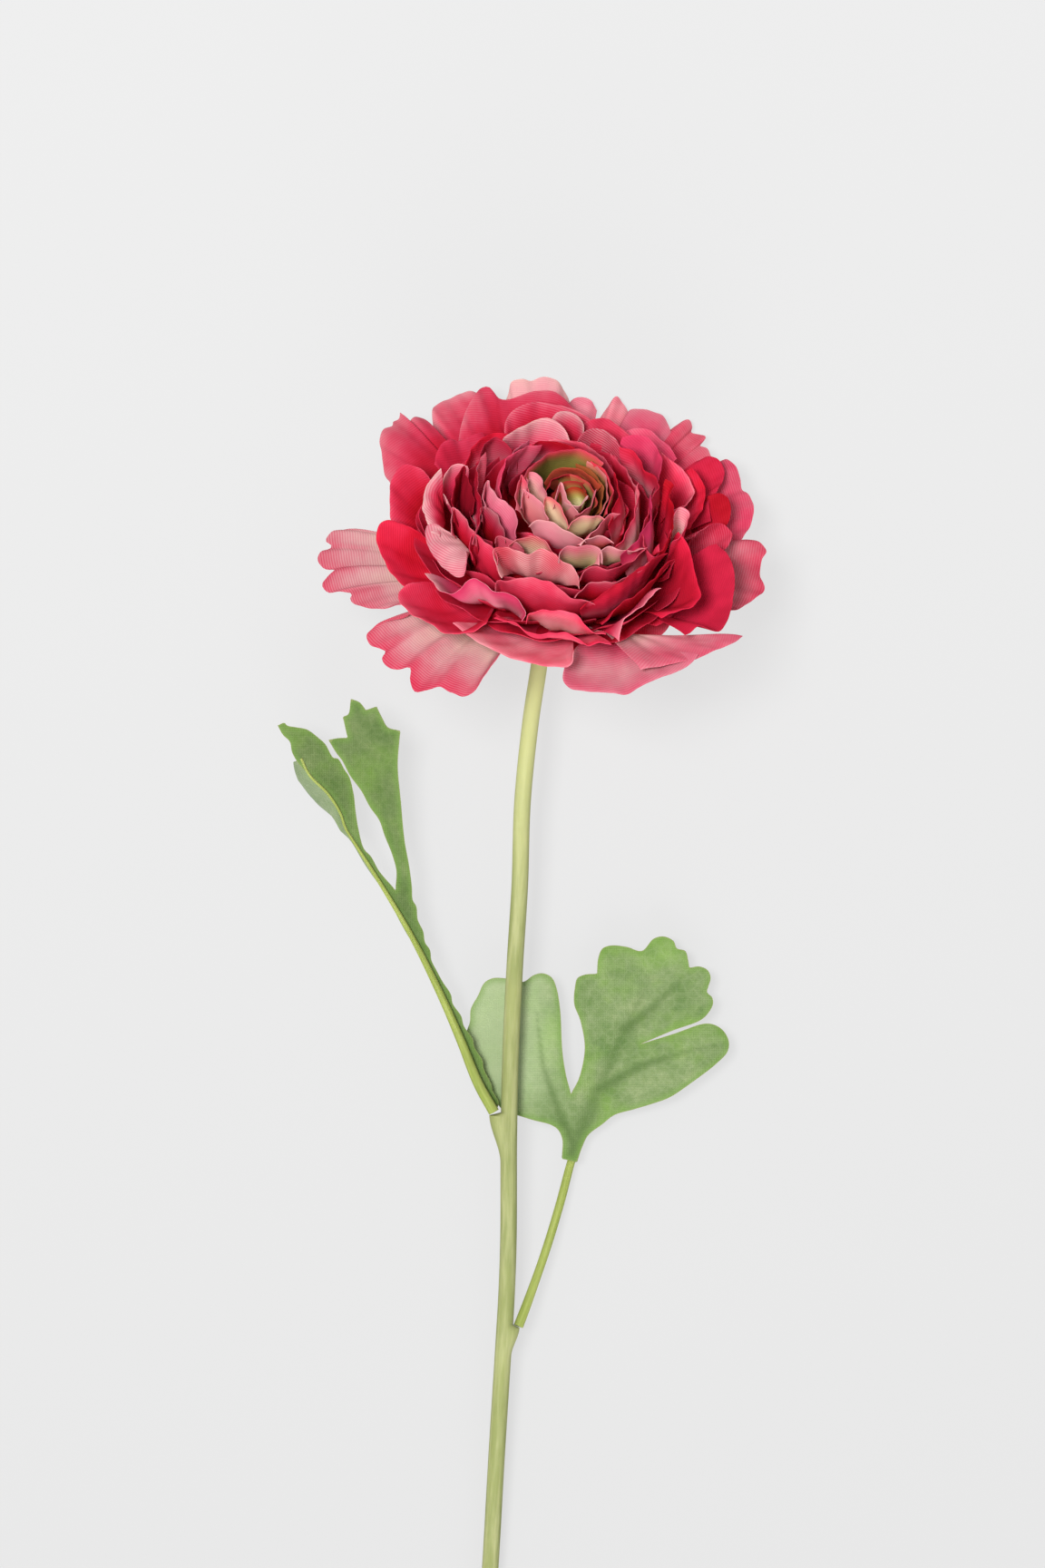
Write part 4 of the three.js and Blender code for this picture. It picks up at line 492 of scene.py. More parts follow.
SECOND_ROOT = (17, 13.5)
THIRD_ROOT = (13.5, 15.5)
RUFFLED_STYLE = dict(root=(21, 11.5), bulge=4, spread=4)
RUFFLED = [
    dict(rim=[(-18, 69.6), (-19.8, 67.6), (-21.4, 65), (-22, 62.2), (-21.6, 59.2), (-20.4, 56),
         (-18.4, 54.4)], lift=-0.5, root=(25.5, 18), bulge=-2.5, spread=3,
         tone=(0.3, 0.5, 1), dye_and_painted_shade=0.1, weave=0.8),
    dict(rim=[(-19.2, 57.4), (-21, 57), (-21.4, 55.2), (-20.6, 52), (-18.8, 49.2), (-16.6, 47),
         (-14.2, 45.4), (-13, 46), (-12.4, 48.8), (-12.6, 51.2)], lift=-0.5, root=(25.5, 20),
         bulge=-3, spread=3, tone=(1.05, 1, 0.85), magenta=0.1, dye_and_painted_shade=0.2, weave=1),
    dict(rim=[(-4.6, 45.2), (-5.8, 48.4), (-6.6, 51.2), (-5.6, 52.4), (-3.6, 52.2), (-1.2, 51.4),
         (1.2, 51.4), (3.6, 52), (6, 51.2), (8.4, 49.6), (10.6, 48.2), (12.2, 45.8), (12.6, 43.2)],
         root=(16, 13.5), bulge=5, spread=5, tone=(0.7, 0.85, 0.8), magenta=0.2, green=0.1, dye_and_painted_shade=-0.05,
         green_reach=1.4, weave=1.6, crease=-0.8,
         bands=(0.1, 0.1, -0.14, 0.14, 0.06, -0.06, 0.14, 0.1)),
    dict(rim=[(-4.8, 72.8), (-4.2, 76.2), (-2, 77.8), (0.8, 79.2), (3.2, 80.4), (5.8, 80.6),
         (8.2, 79.4), (9.8, 77.4), (10.8, 74.8)], z=(26, 20, 22), spread=5,
         tone=(0.7, 0.6, 1), magenta=0.2, dye_and_painted_shade=0.05, weave=1),
    dict(rim=[(6.4, 80.4), (7.6, 81.8), (9.6, 82.2), (12, 81.2), (13.4, 79.4), (13.4, 77.2),
         (12.4, 74.8)], z=(17, 17, 21), tone=(0.6, 0.15, 0.95),
         dye_and_painted_shade=0.2, weave=0.6),
    dict(rim=[(11.6, 74.4), (12.8, 76.8), (14.8, 78.2), (17.4, 78.2), (19.8, 76.8), (21.6, 74.4),
         (23.2, 72.8)], z=(22, 20, 26), tone=(0.7, 0.7, 0.75),
         dye_and_painted_shade=0.2, weave=1.5),
    dict(rim=[(-9.4, 70.4), (-9, 73.4), (-8, 75.4), (-6, 76.4), (-4, 75.4), (-2.4, 73.6)],
         z=(34, 29, 29), tone=(0.35, 0.7, 0.5), dye_and_painted_shade=0.3, weave=0.6),
    dict(rim=[(-13.6, 66.8), (-12.4, 71.2), (-10.8, 74.4), (-8.4, 76.6), (-5.6, 77.4), (-3.2, 77.2)],
         z=(34, 27, 22), tone=(0.3, 0.75, 0.4), dye_and_painted_shade=-0.2,
         weave=0.6),
    dict(rim=[(-16.8, 61.8), (-17.6, 64.8), (-17.4, 67.6), (-16.2, 69.6), (-14, 70.6), (-12.2, 70)],
         z=(41, 37, 34), tone=(0.3, 0.5, 1.05), magenta=0.3,
         green=0.1, dye_and_painted_shade=-0.2),
    dict(rim=[(-15.4, 54.8), (-15.8, 58.8), (-15.2, 61.2), (-13.6, 59.6), (-11.8, 57.2), (-10.4, 55),
         (-10.4, 52.4)], tone=(0.45, 0, 0.75), dye_and_painted_shade=0.05),
    dict(rim=[(-15.2, 57.8), (-15.4, 63.8), (-14.6, 67.2), (-13, 70.2), (-12, 66.8), (-10.8, 63.8),
         (-11, 59.8)], root=(20, 12), bulge=3, tone=(0.1, 0.05, 0.15), magenta=0.1,
         green=0.2, dye_and_painted_shade=0.1),
    dict(rim=[(-11, 52.8), (-10.4, 55.8), (-9.4, 58.4), (-9, 60.8), (-9.6, 63.8), (-10, 67.8),
         (-9.4, 71.8), (-8, 73.2)], lift=0.3, root=SECOND_ROOT,
         tone=(0.4, 1.1, 0.03), inner=(0.1, 0.75, 0.8), magenta=0.1),
    dict(rim=[(-11.2, 49.2), (-11.6, 52.8), (-11, 55.2), (-9.6, 54.4), (-7.2, 52.8), (-5.8, 50.4),
         (-5.4, 47.2)], tone=(0.3, 0.42, 0.62)),
    dict(rim=[(-8.4, 60.8), (-8.6, 64.8), (-7.8, 67), (-6.6, 65), (-5.2, 62.8), (-3.4, 62.2),
         (-2, 60.4), (-1.2, 57.8), (-1.6, 54.4)], lift=0.3, root=(15.5, 14.5),
         tone=(0.55, 0.8, 0.95), magenta=0.5, dye_and_painted_shade=0.05),
    dict(rim=[(-9.2, 57.8), (-8.8, 61.2), (-7.2, 60.6), (-5.4, 58.8), (-4.2, 56.2), (-4, 53.2)],
         lift=-0.5, root=SECOND_ROOT, tone=(0.3, 0, 0.8), dye_and_painted_shade=0.4),
    dict(rim=[(-6.2, 52.8), (-5.4, 54.8), (-4, 54.4), (-2, 53.4), (0, 52.2)], lift=-0.2,
         root=SECOND_ROOT, tone=(0.5, 0.65, 0.8), dye_and_painted_shade=0.2),
    dict(rim=[(-5, 62.8), (-4.8, 67.2), (-3.6, 71.2), (-1.2, 73.4), (1.4, 74.4), (4.2, 74.8)],
         z=(50, 45, 38), root=(14, 15), bulge=3, tone=(0.2, 0.7, 0.6), magenta=0.3,
         green=0.2, dye_and_painted_shade=-0.2),
    dict(rim=[(-3.2, 68.8), (-2.6, 71.2), (-1.6, 73.4), (0, 75), (1.6, 75.8)], z=(42, 37, 32),
         root=(16, 14), bulge=3, spread=3, tone=(0.6, 0.7, 0.8), magenta=0.7),
    dict(rim=[(4, 74.4), (6.2, 75.8), (9.2, 76), (12.8, 75.2), (15.8, 73.6), (18.4, 71.2),
         (20.4, 68.4)], z=(31, 30, 38), root=(16, 14), bulge=3, spread=5, tone=(0.5, 0.6, 0.7)),
    dict(rim=[(-1.2, 72), (0.8, 74), (3.2, 75.2), (6, 75.6), (8.8, 75.2), (11.6, 74)],
         z=(40, 35, 35), root=(13, 15), bulge=3, spread=5, tone=(0.3, 0.9, 0.2), dye_and_painted_shade=0.1),
    dict(rim=[(19.2, 72.8), (21.2, 71.2), (23, 68.8), (24.6, 66.2), (25.4, 63.2), (24.8, 59.6)],
         z=(31, 38, 48), root=SECOND_ROOT, bulge=3, spread=5, tone=(0.5, 0.2, 0.75), dye_and_painted_shade=0.03),
    dict(rim=[(21.6, 74.4), (24.2, 73.4), (26.2, 71.2), (27.2, 68.8), (29.2, 68), (30, 65.8),
         (28.8, 63.2), (28, 59.6)], z=(28, 33, 45), bulge=3, spread=5,
         tone=(0.3, 0.85, 0.45)),
    dict(rim=[(20, 68.8), (21, 66.4), (21, 63.2), (20, 60.4), (19.2, 57.2)], z=(40, 46, 53),
         root=THIRD_ROOT, bulge=3, tone=(0.5, 0.85, 0.2), inner=(0.5, 0.8, 0.35), dye_and_painted_shade=-0.17),
    dict(rim=[(25.6, 66.4), (25.4, 62.8), (24.4, 58.8), (22.6, 54.8), (20.8, 52.4)],
         root=SECOND_ROOT, bulge=3, tone=(0.45, 1.25, 0.6), inner=(0.45, 1.2, 0.7),
         dye_and_painted_shade=-0.2),
    dict(rim=[(28, 63.8), (28.6, 60.8), (27.6, 57.4), (25.6, 54.4), (23.6, 52), (21.6, 50.4)],
         bulge=3, tone=(0.45, 1.1, 0.05), magenta=0.7, dye_and_painted_shade=-0.2),
    dict(rim=[(31.8, 67.2), (33, 66.2), (32.6, 63.2), (33.4, 59.8), (32.8, 55.8), (31.4, 52.4),
         (29.2, 50.4)], bulge=3, tone=(0.45, 0.45, 0.2), dye_and_painted_shade=-0.06),
    dict(rim=[(32.8, 54), (33, 57.2), (33.8, 60), (35.2, 61), (36.4, 60.2), (36.4, 57.4), (35.2, 55),
         (33.2, 53.6)], z=(46, 41, 46), root=(24, 10), bulge=2, spread=3,
         tone=(0.5, 0.5, 0.6), inner=(0.7, 1.25, 0.8), magenta=0.1, dye_and_painted_shade=-0.05, weave=0.8),
    dict(rim=[(8, 48.8), (8.4, 51.2), (10.4, 52.4), (13.2, 52.6), (15.8, 52.4), (17.4, 51.2),
         (17.6, 48.4)], lift=0.3, root=THIRD_ROOT, tone=(0.8, 0.85, 0.9),
         green=0.8, dye_and_painted_shade=0.1, green_reach=0.95),
    dict(rim=[(16.8, 48.4), (17.2, 51.2), (19.4, 52.2), (22.4, 51.6), (24.8, 51.2), (27.2, 52)],
         lift=-0.3, root=THIRD_ROOT, tone=(0.8, 0.85, 0.85), green=0.7, dye_and_painted_shade=-0.1, green_reach=0.95),
    dict(rim=[(12.4, 44.8), (14, 47.2), (16.4, 47.8), (19.6, 47.4), (22.8, 48.4), (25.6, 50.4),
         (27.6, 52)], lift=-0.3, root=SECOND_ROOT, spread=5, tone=(0.5, 0.45, 0.72),
         dye_and_painted_shade=0.05),
    dict(rim=[(-3.2, 52.4), (-0.8, 54), (1.8, 54.8), (4.2, 54), (6, 52.2), (7.6, 50.4)],
         root=THIRD_ROOT, tone=(0.7, 1.1, 0.7), green=0.5, dye_and_painted_shade=0.05,
         green_reach=1.1, weave=1.4),
    dict(rim=[(11.6, 40.8), (14.4, 44.2), (17.6, 44.4), (20.8, 44.8), (24.8, 46.4), (28, 48.8)],
         lift=-1, spread=6, tone=(0.35, 0.1, 0.75), dye_and_painted_shade=0.05),
    dict(rim=[(30.4, 52.8), (29.2, 50), (27.2, 52), (26.4, 54.8), (27.2, 58.4), (28, 60.8)], lift=-1,
         spread=5, tone=(0.3, 0.45, 0.6)),
]

HEART_STYLE = dict(root=(7.6, 18.5), bulge=3, weave=0.3)
HEART = [
    dict(rim=[(0.2, 67.8), (1.6, 69.6), (3.6, 71.4), (6, 72.8), (8.6, 73.6), (11.2, 73.8),
         (13.8, 73.4), (16.2, 72.2), (18, 70.6)], lift=0.5, bulge=2.5, spread=4,
         tone=(0.4, 0.3, 0.62), green=0.9, dye_and_painted_shade=0.05, green_reach=1.05, weave=0.2),
    dict(rim=[(15.2, 71.2), (17.8, 69.4), (19.2, 67.2), (19.8, 65), (19.4, 62.4), (18.4, 59.6)],
         lift=0.2, bulge=2.5, spread=4, tone=(0.4, 0.3, 0.6), green=0.6, dye_and_painted_shade=-0.1, green_reach=1.05,
         weave=0.2),
    dict(rim=[(14.2, 71.2), (16.6, 70), (18.2, 67.8), (18.8, 65), (18.4, 61.8), (17.4, 59.4)],
         root=(7, 18.5), bulge=2.5, tone=(0.5, 0.2, 0.8), green=0.8, dye_and_painted_shade=0.08,
         green_reach=1.1, weave=0.2),
    dict(rim=[(12, 70.6), (14.8, 69.4), (16.8, 67.4), (17.8, 65), (17.6, 62), (16.8, 59.8)],
         lift=-0.2, root=(6, 18.5), bulge=2, tone=(0.4, 0.35, 0.3), green=0.5, dye_and_painted_shade=-0.03,
         green_reach=1.4, weave=0.2),
    dict(rim=[(4.8, 66.4), (6.2, 68.4), (7.4, 69.4), (9.2, 69.8), (11, 69.8), (12.8, 69),
         (14.6, 68.2), (16.2, 67), (17.4, 65.6)], lift=-0.2, root=(6, 19), bulge=2.5,
         tone=(0.4, 0.45, 0.4), green=0.3, dye_and_painted_shade=-0.05, green_reach=1.4, weave=0.2),
    dict(rim=[(5, 64.2), (5.6, 65.6), (6.8, 67), (8.8, 68), (10.6, 68.4), (12.4, 67.8),
         (13.8, 66.6)], lift=-0.8, root=(5, 19), bulge=2.5, spread=2.5, tone=(0.4, 0.45, 0.45),
         green=0.7, dye_and_painted_shade=0.15, green_reach=1.05, weave=0.2),
    dict(rim=[(10.4, 68.4), (12.2, 67.8), (14.2, 66.6), (15.4, 65.2), (16.2, 63.4), (16.2, 61.2)],
         lift=-0.5, root=(5, 19), bulge=2.5, spread=2.5, tone=(0.4, 0.55, 0.45), green=0.9, dye_and_painted_shade=0.05,
         green_reach=1.1, weave=0.2),
    dict(rim=[(6.6, 63.6), (7.6, 65.4), (9.2, 66.6), (11.2, 66.8), (13, 66), (14.2, 64.4)],
         lift=-1.3, root=(4, 19), bulge=2.5, spread=2, tone=(0.5, 0.75, 0.15), magenta=0.1,
         green=0.9, dye_and_painted_shade=0.02, green_reach=1.1, weave=0.2),
    dict(rim=[(8, 62.8), (8.8, 64.6), (10.4, 65.4), (12.2, 65.4), (13.8, 64.4), (14.6, 62.8)],
         lift=-1.9, root=(3, 19), bulge=2.5, spread=1.5, tone=(0.5, 0.9, 0), green=0.9, dye_and_painted_shade=-0.2,
         green_reach=1.1, weave=0.2),
    dict(rim=[(-1.6, 60.4), (-1.4, 63.8), (-1, 66.4), (0, 68.4), (0.8, 66.4), (1.4, 63.2)],
         lift=-0.3, tone=(0.4, 1.25, 0.75), green=0.1, dye_and_painted_shade=-0.17,
         green_reach=0.95),
    dict(rim=[(0.8, 63.8), (1, 66.8), (1.6, 68.8), (3.2, 68.4), (4.4, 66.6), (5.2, 63.8)], lift=-0.3,
         root=(6.5, 18.5), tone=(0.95, 1.15, 0.8), magenta=0.1, green=0.4,
         green_reach=0.95),
    dict(rim=[(-0.4, 60.8), (-0.2, 63.4), (0.4, 65.2), (1.8, 64), (3.2, 62.8), (4.6, 61.2),
         (5.6, 58.2)], lift=0.2, tone=(0.8, 0.7, 0.95), magenta=0.6, green=0.2,
         dye_and_painted_shade=-0.05, green_reach=1.1),
    dict(rim=[(4.6, 60.4), (5.2, 63.4), (6.4, 63), (7.4, 62.2), (8.6, 60.8), (9.4, 59.2),
         (10, 56.8)], lift=0.3, root=(6, 18.5), tone=(1.1, 1.25, 0.7), green=0.6,
         dye_and_painted_shade=-0.2, green_reach=1.1),
    dict(rim=[(10, 56.4), (11, 57.8), (12.4, 58.6), (14.8, 59.2), (16.8, 59.2), (18.2, 58.2)],
         lift=0.2, tone=(1, 1.25, 0.8), magenta=0.4, green=0.8, dye_and_painted_shade=-0.2,
         green_reach=1.1),
    dict(rim=[(1.4, 56.8), (2.2, 57.8), (3.6, 58.2), (5.6, 57.8), (8.2, 56.8), (10.2, 55.6),
         (11.8, 54.6), (14, 53.2)], lift=0.2, root=(10, 17),
         tone=(0.95, 0.95, 1.1), magenta=0.4, dye_and_painted_shade=-0.05),
    dict(rim=[(14.4, 53.8), (15.8, 55.8), (17.2, 57.4), (18.6, 58.8), (20, 59.6), (21.4, 59.8)],
         root=(10, 17), tone=(0.8, 0.7, 0.85), green=0.1, dye_and_painted_shade=-0.12,
         green_reach=0.95),
    dict(rim=[(12.8, 52.4), (14.4, 54), (16.2, 54.8), (18.2, 54.4), (20.2, 52.8)], root=(10.5, 17),
         spread=4, tone=(0.85, 0.4, 1), magenta=0.1, green=0.3, dye_and_painted_shade=-0.15, green_reach=0.95),
    dict(rim=[(6.8, 60.8), (7.4, 63.6), (8.6, 66.8), (9.4, 64.2), (10.6, 61.8), (12.4, 59.6)],
         lift=-0.5, root=(3.5, 18.5), spread=2, tone=(1, 0.7, 0.9), green=0.1, dye_and_painted_shade=-0.17,
         green_reach=0.95),
    dict(rim=[(12, 59.2), (13.4, 59.8), (14.8, 61.2), (15.8, 63.2), (16.4, 64.8)], root=(5, 18.5),
         spread=2, tone=(0.85, 0.85, 0.76), green=0.6, green_reach=0.95),
    dict(rim=[(9.2, 62.4), (10.6, 61.6), (12.4, 61.2), (13.8, 62.2), (14.4, 63.8)], lift=-0.7,
         root=(2.6, 18.5), bulge=1.5, spread=1.5, tone=(1, 1, 1), green=0.8, green_reach=0.95),
]


# Petals by rule: they fill the bloom under the drawn ones

FILL = {"claw": 0.6, "round": 0.28, "cup": 0, "lap": 0.1, "waves": 2, "ruffle": 0.4, "rumple": 0.3,
        "inner": (0.15, 0.35, 0.55), "outer": (0.3, 0.45, 0.6)}
CUP = 0.9  # divided by the tip's distance, for a petal that curls round the bloom's axis
FULL_WIDTH = 0.7  # the share of the height at which a petal has its full width
RUMPLES = 3
SEED_STEP = 7
TURN_CHANGE = 70  # degrees, shared out over a ring
REACH_CHANGE = 0.03
HEIGHT_CHANGE = 0.9


def petal_surface(p, u, v):
    """Points at a share u of the height and v of half the width, and the cloth's own place there: how
    far across and up it, and how far inside its edge."""
    (root_r, root_z), (tip_r, tip_z) = p["root"], p["tip"]
    share = u * (1 - p["round"] * np.abs(v) ** 2.6)
    rise, run = tip_z - root_z, tip_r - root_r
    bend = math.radians(p["bend"])
    start = math.atan2(rise, run) - bend / 2
    radius = math.hypot(rise, run) / (2 * math.sin(bend / 2))
    angle = start + bend * share
    r = root_r + radius * (np.sin(angle) - math.sin(start))
    z = root_z + radius * (math.cos(start) - np.cos(angle))
    widening = np.sin(np.pi / 2 * np.minimum(1, u / FULL_WIDTH))
    x = v * p["half_width"] * (p["claw"] + (1 - p["claw"]) * widening)
    cup = p["cup"] or CUP / tip_r
    side = np.sin(cup * x) / cup
    wave = p["ruffle"] * u * u * np.sin(p["waves"] * np.pi * v + p["phase"])
    seed = p["phase"] * 7
    for k in range(1, RUMPLES + 1):
        drift = np.sin((1.7 + k) * v * 1.9 + seed * k) * np.sin((1.2 + k) * 1.6 * u + seed * 2 * k)
        wave = wave + p["rumple"] * u / k * drift
    inward = (1 - np.cos(cup * x)) / cup + p["lap"] * x * u + wave
    out = r - inward * np.sin(angle)
    up = z + inward * np.cos(angle)
    psi = math.radians(p["azimuth"])
    points = filled(u.shape, out * math.cos(psi) - side * math.sin(psi),
                    out * math.sin(psi) + side * math.cos(psi), up)
    length = radius * bend
    margin = np.minimum((1 - u) * length, (1 - np.abs(v)) * p["half_width"] * 1.2)
    return pressed(points), filled(u.shape, x, share * length, margin)


def add_petal(parts, p, rows, columns):
    u = 1 - np.linspace(1, 0, rows) ** 1.25
    u, v = np.meshgrid(u, np.linspace(-1, 1, columns), indexing="ij")
    points, cloth = petal_surface(p, u, v)
    world = from_bloom(points)
    world[..., 2] = np.maximum(world[..., 2], LOWEST)
    sides = tuple(filled(u.shape, tone_at(u, p[side])) for side in ("inner", "outer"))
    parts.add_sheet(world, grid_normals(world), grid_faces(rows, columns), PETAL_THICKNESS, cloth=cloth,
                    petal=sides, weave=filled(u.shape, 0.5))


def ring(root, tip, bend, half_width, count, turn, seed, **style):
    """A ring of petals. Root and tip are distances from the bloom's axis and heights along it."""
    made = []
    for i in range(count):
        s = seed + SEED_STEP * i
        made.append({
            **FILL, **style, "root": root, "bend": bend, "half_width": half_width,
            "azimuth": turn + 360 * i / count + TURN_CHANGE / count * jitter(s),
            "tip": (tip[0] * (1 + REACH_CHANGE * jitter(s + 2)), tip[1] + HEIGHT_CHANGE * jitter(s + 3)),
            "phase": np.pi * jitter(s + 4),
        })
    return made


# Each ring's root, tip, bend in degrees, half width, count, turn in degrees and seed
GUARD_FILL = ring((5, 1.6), (29.5, 1.5), 20, 13, 9, 0, 100,
                  claw=0.3, cup=0.012, inner=(0.9, 0.7, 0.7), outer=(0.9, 0.8, 0.7))
CRIMSON_FILL = [
    *ring((19, 5.4), (31, 9), 34, 12, 10, 10, 200),
    *ring((20.5, 6.6), (29.5, 13), 50, 11, 9, 20, 310),
]
RUFFLED_FILL = [
    *ring((22, 10), (26.5, 16.5), 34, 11, 9, 0, 400),
    *ring((20, 12), (23.5, 18.5), 34, 10, 8, 20, 500),
    *ring((16.5, 14), (20.3, 20.5), 34, 9, 8, 5, 600),
    *ring((13.6, 15.5), (16.6, 21.5), 34, 8, 7, 30, 700),
    *ring((11.5, 16), (13.4, 22.5), 34, 7, 6, 12, 800),
]
HEART_FILL = ring((1.2, 18.5), (1.9, 24.5), 50, 2, 3, 40, 1200, cup=0.35, lap=0.2, ruffle=0.2,
                  rumple=0.15, inner=(0.5, 0.5, 0.6), outer=(0.7, 0.7, 0.7))


# Materials

MIX_INPUTS = (0, 6, 7)  # a colour mix's sockets for its factor and its two colours
MIX_RESULT = 2
CLOTH_ROUGHNESS = 0.7


class Nodes:
    """Makes the nodes of one material. A value is a number, a colour or another node's socket."""

    def __init__(self, name):
        self.material = bpy.data.materials.new(name)
        self.material.use_nodes = True
        self.tree = self.material.node_tree
        self.tree.nodes.clear()

    def give(self, socket, value):
        if isinstance(value, bpy.types.NodeSocket):
            self.tree.links.new(value, socket)
        else:
            socket.default_value = value

    def add(self, kind, inputs=None, **settings):
        node = self.tree.nodes.new(kind)
        for key, value in settings.items():
            setattr(node, key, value)
        for key, value in (inputs or {}).items():
            self.give(node.inputs[key], value)
        return node

    def surface(self, shader):
        self.add("ShaderNodeOutputMaterial", {"Surface": shader.outputs[0]})
        return self.material

    def math(self, operation, *values):
        node = self.add("ShaderNodeMath", operation=operation)
        for socket, value in zip(node.inputs, values):
            self.give(socket, value)
        return node.outputs[0]

    def mix(self, factor, a, b, blend="MIX"):
        node = self.add("ShaderNodeMix", data_type="RGBA", blend_type=blend)
        for index, value in zip(MIX_INPUTS, (factor, a, b)):
            self.give(node.inputs[index], (*value, 1) if isinstance(value, tuple) else value)
        return node.outputs[MIX_RESULT]

    def ramp(self, factor, stops):
        node = self.add("ShaderNodeValToRGB", {"Fac": factor})
        elements = node.color_ramp.elements
        while len(elements) > 1:
            elements.remove(elements[0])
        for i, (at, colour) in enumerate(stops):
            element = elements[0] if i == 0 else elements.new(at)
            element.position = at
            element.color = (*colour, 1)
        return node.outputs["Color"]

    def attribute(self, name):
        return self.add("ShaderNodeAttribute", attribute_name=name).outputs["Vector"]

    def position(self):
        return self.add("ShaderNodeNewGeometry").outputs["Position"]

    def split(self, vector):
        node = self.add("ShaderNodeSeparateXYZ", {"Vector": vector})
        return [node.outputs[k] for k in "XYZ"]

    def noise(self, vector, scale, detail, roughness=0.5):
        return self.add("ShaderNodeTexNoise", {
            "Vector": vector, "Scale": scale, "Detail": detail, "Roughness": roughness,
        }).outputs["Fac"]

    def fade(self, value, end, strength, start=0.0):
        """The given strength up to the start, and nothing from the end on."""
        return self.add("ShaderNodeMapRange", {
            "Value": value, "From Min": start, "From Max": end, "To Min": strength, "To Max": 0.0,
        }, interpolation_type="SMOOTHSTEP").outputs[0]

    def threads(self, way, pitch):
        """A wave with the pitch of the weave."""
        return self.math("SINE", self.math("MULTIPLY", way, 2 * math.pi / pitch))

    def bump(self, height, strength, depth):
        node = self.add("ShaderNodeBump", {"Height": height, "Strength": strength, "Distance": depth})
        return node.outputs[0]

    def cloth(self, colour, bump, through, gloss):
        """Cloth that lets a share of the light through."""
        face = self.add("ShaderNodeBsdfPrincipled", {
            "Base Color": colour, "Roughness": CLOTH_ROUGHNESS, "Normal": bump, **gloss,
        })
        back = self.add("ShaderNodeBsdfTranslucent", {"Color": colour, "Normal": bump})
        return self.surface(self.add("ShaderNodeMixShader", {
            "Fac": through, 1: face.outputs[0], 2: back.outputs[0],
        }))


PETAL_WEAVE = 0.55
PETAL_RELIEF = 0.00006
PALEST = 1.25  # the tone at the end of the dyes
DYES = [
    (0.0, (0.25, 0.0012, 0.004)), (0.16, (0.41, 0.003, 0.012)), (0.28, (0.53, 0.007, 0.027)),
    (0.4, (0.605, 0.019, 0.055)), (0.5, (0.655, 0.042, 0.095)), (0.58, (0.68, 0.098, 0.153)),
    (0.66, (0.70, 0.175, 0.226)), (0.73, (0.72, 0.272, 0.308)), (0.82, (0.75, 0.392, 0.396)),
    (1.0, (0.82, 0.610, 0.500)),
]
MAGENTA = (0.67, 0.056, 0.180)
PETAL_GREENS = [(0.2, (0.09, 0.11, 0.015)), (0.6, (0.28, 0.30, 0.07)), (1.0, (0.62, 0.60, 0.30))]


def petal_material(name):
    """Woven cloth, dyed: its tone runs from deep crimson to pale pink. Its rim is paler, partly the cut
    edge and partly a painted highlight, and whole petals are darkened by their dye together with painted
    shade, or lightened by painted light.
    """
    n = Nodes(name)
    tone, magenta, green = n.split(n.attribute("petal"))
    x, s, margin = n.split(n.attribute("cloth"))
    strength, dye_and_painted_shade, _ = n.split(n.attribute("weave"))
    stretched = n.add("ShaderNodeCombineXYZ", {"X": x, "Y": n.math("MULTIPLY", s, 0.5)}).outputs[0]
    blotch = n.noise(stretched, 0.22, 3.0, 0.55)
    tone = n.math("ADD", tone, n.math("MULTIPLY_ADD", blotch, 0.5, -0.25))
    # Paler along the rim: partly the frayed cut edge, partly a painted highlight
    tone = n.math("ADD", tone, n.fade(margin, 0.6, 0.03, start=0.05))
    weave = n.threads(n.math("MULTIPLY_ADD", x, 0.55, s), PETAL_WEAVE)
    shown = n.math("MULTIPLY", weave, strength)
    tone = n.math("MULTIPLY_ADD", shown, 0.07, tone)
    colour = n.ramp(n.math("MULTIPLY", tone, 1 / PALEST), DYES)
    colour = n.mix(n.math("MULTIPLY", magenta, 0.8), colour, MAGENTA)
    colour = n.mix(green, colour, n.ramp(tone, PETAL_GREENS))
    # Each petal darkened as a whole: partly its dye, partly painted shade, and painted light where the
    # value is below nothing
    shade = n.math("MULTIPLY", n.math("MULTIPLY_ADD", shown, 0.03, 0.98), n.math("SUBTRACT", 1.0, dye_and_painted_shade))
    grey = n.add("ShaderNodeCombineColor", {"Red": shade, "Green": shade, "Blue": shade}).outputs[0]
    colour = n.mix(1.0, colour, grey, "MULTIPLY")
    return n.cloth(colour, n.bump(weave, 0.25, PETAL_RELIEF), 0.22, {"Specular IOR Level": 0.08})


def plastic_material(name, colour, dark, streak, pale=None):
    """Moulded plastic, in patches of its colour and a darker one, with streaks along the rod. A piece
    with the attribute along turns pale where it says so."""
    n = Nodes(name)
    grain = n.noise(n.attribute("cloth"), 1.1, 4.0, 0.6)
    patches = n.noise(n.position(), 60.0, 2.0)
    body = n.mix(n.math("MULTIPLY_ADD", patches, 1.6, -0.3), dark, colour)
    body = n.mix(n.math("MULTIPLY_ADD", grain, 2.6, -1.05), body, streak)
    # On the stem, pale towards the bloom: partly the plastic's own colour, partly painted light where the
    # bloom shades the neck
    if pale:
        neck, _, _ = n.split(n.attribute("along"))
        body = n.mix(neck, body, pale)
    return n.surface(n.add("ShaderNodeBsdfPrincipled", {
        "Base Color": body, "Roughness": 0.65, "Specular IOR Level": 0.2,
        "Subsurface Weight": 0.3, "Subsurface Scale": 1.0, "Subsurface Radius": (0.003, 0.003, 0.0015),
        "Normal": n.bump(grain, 0.2, 0.0002),
    }))


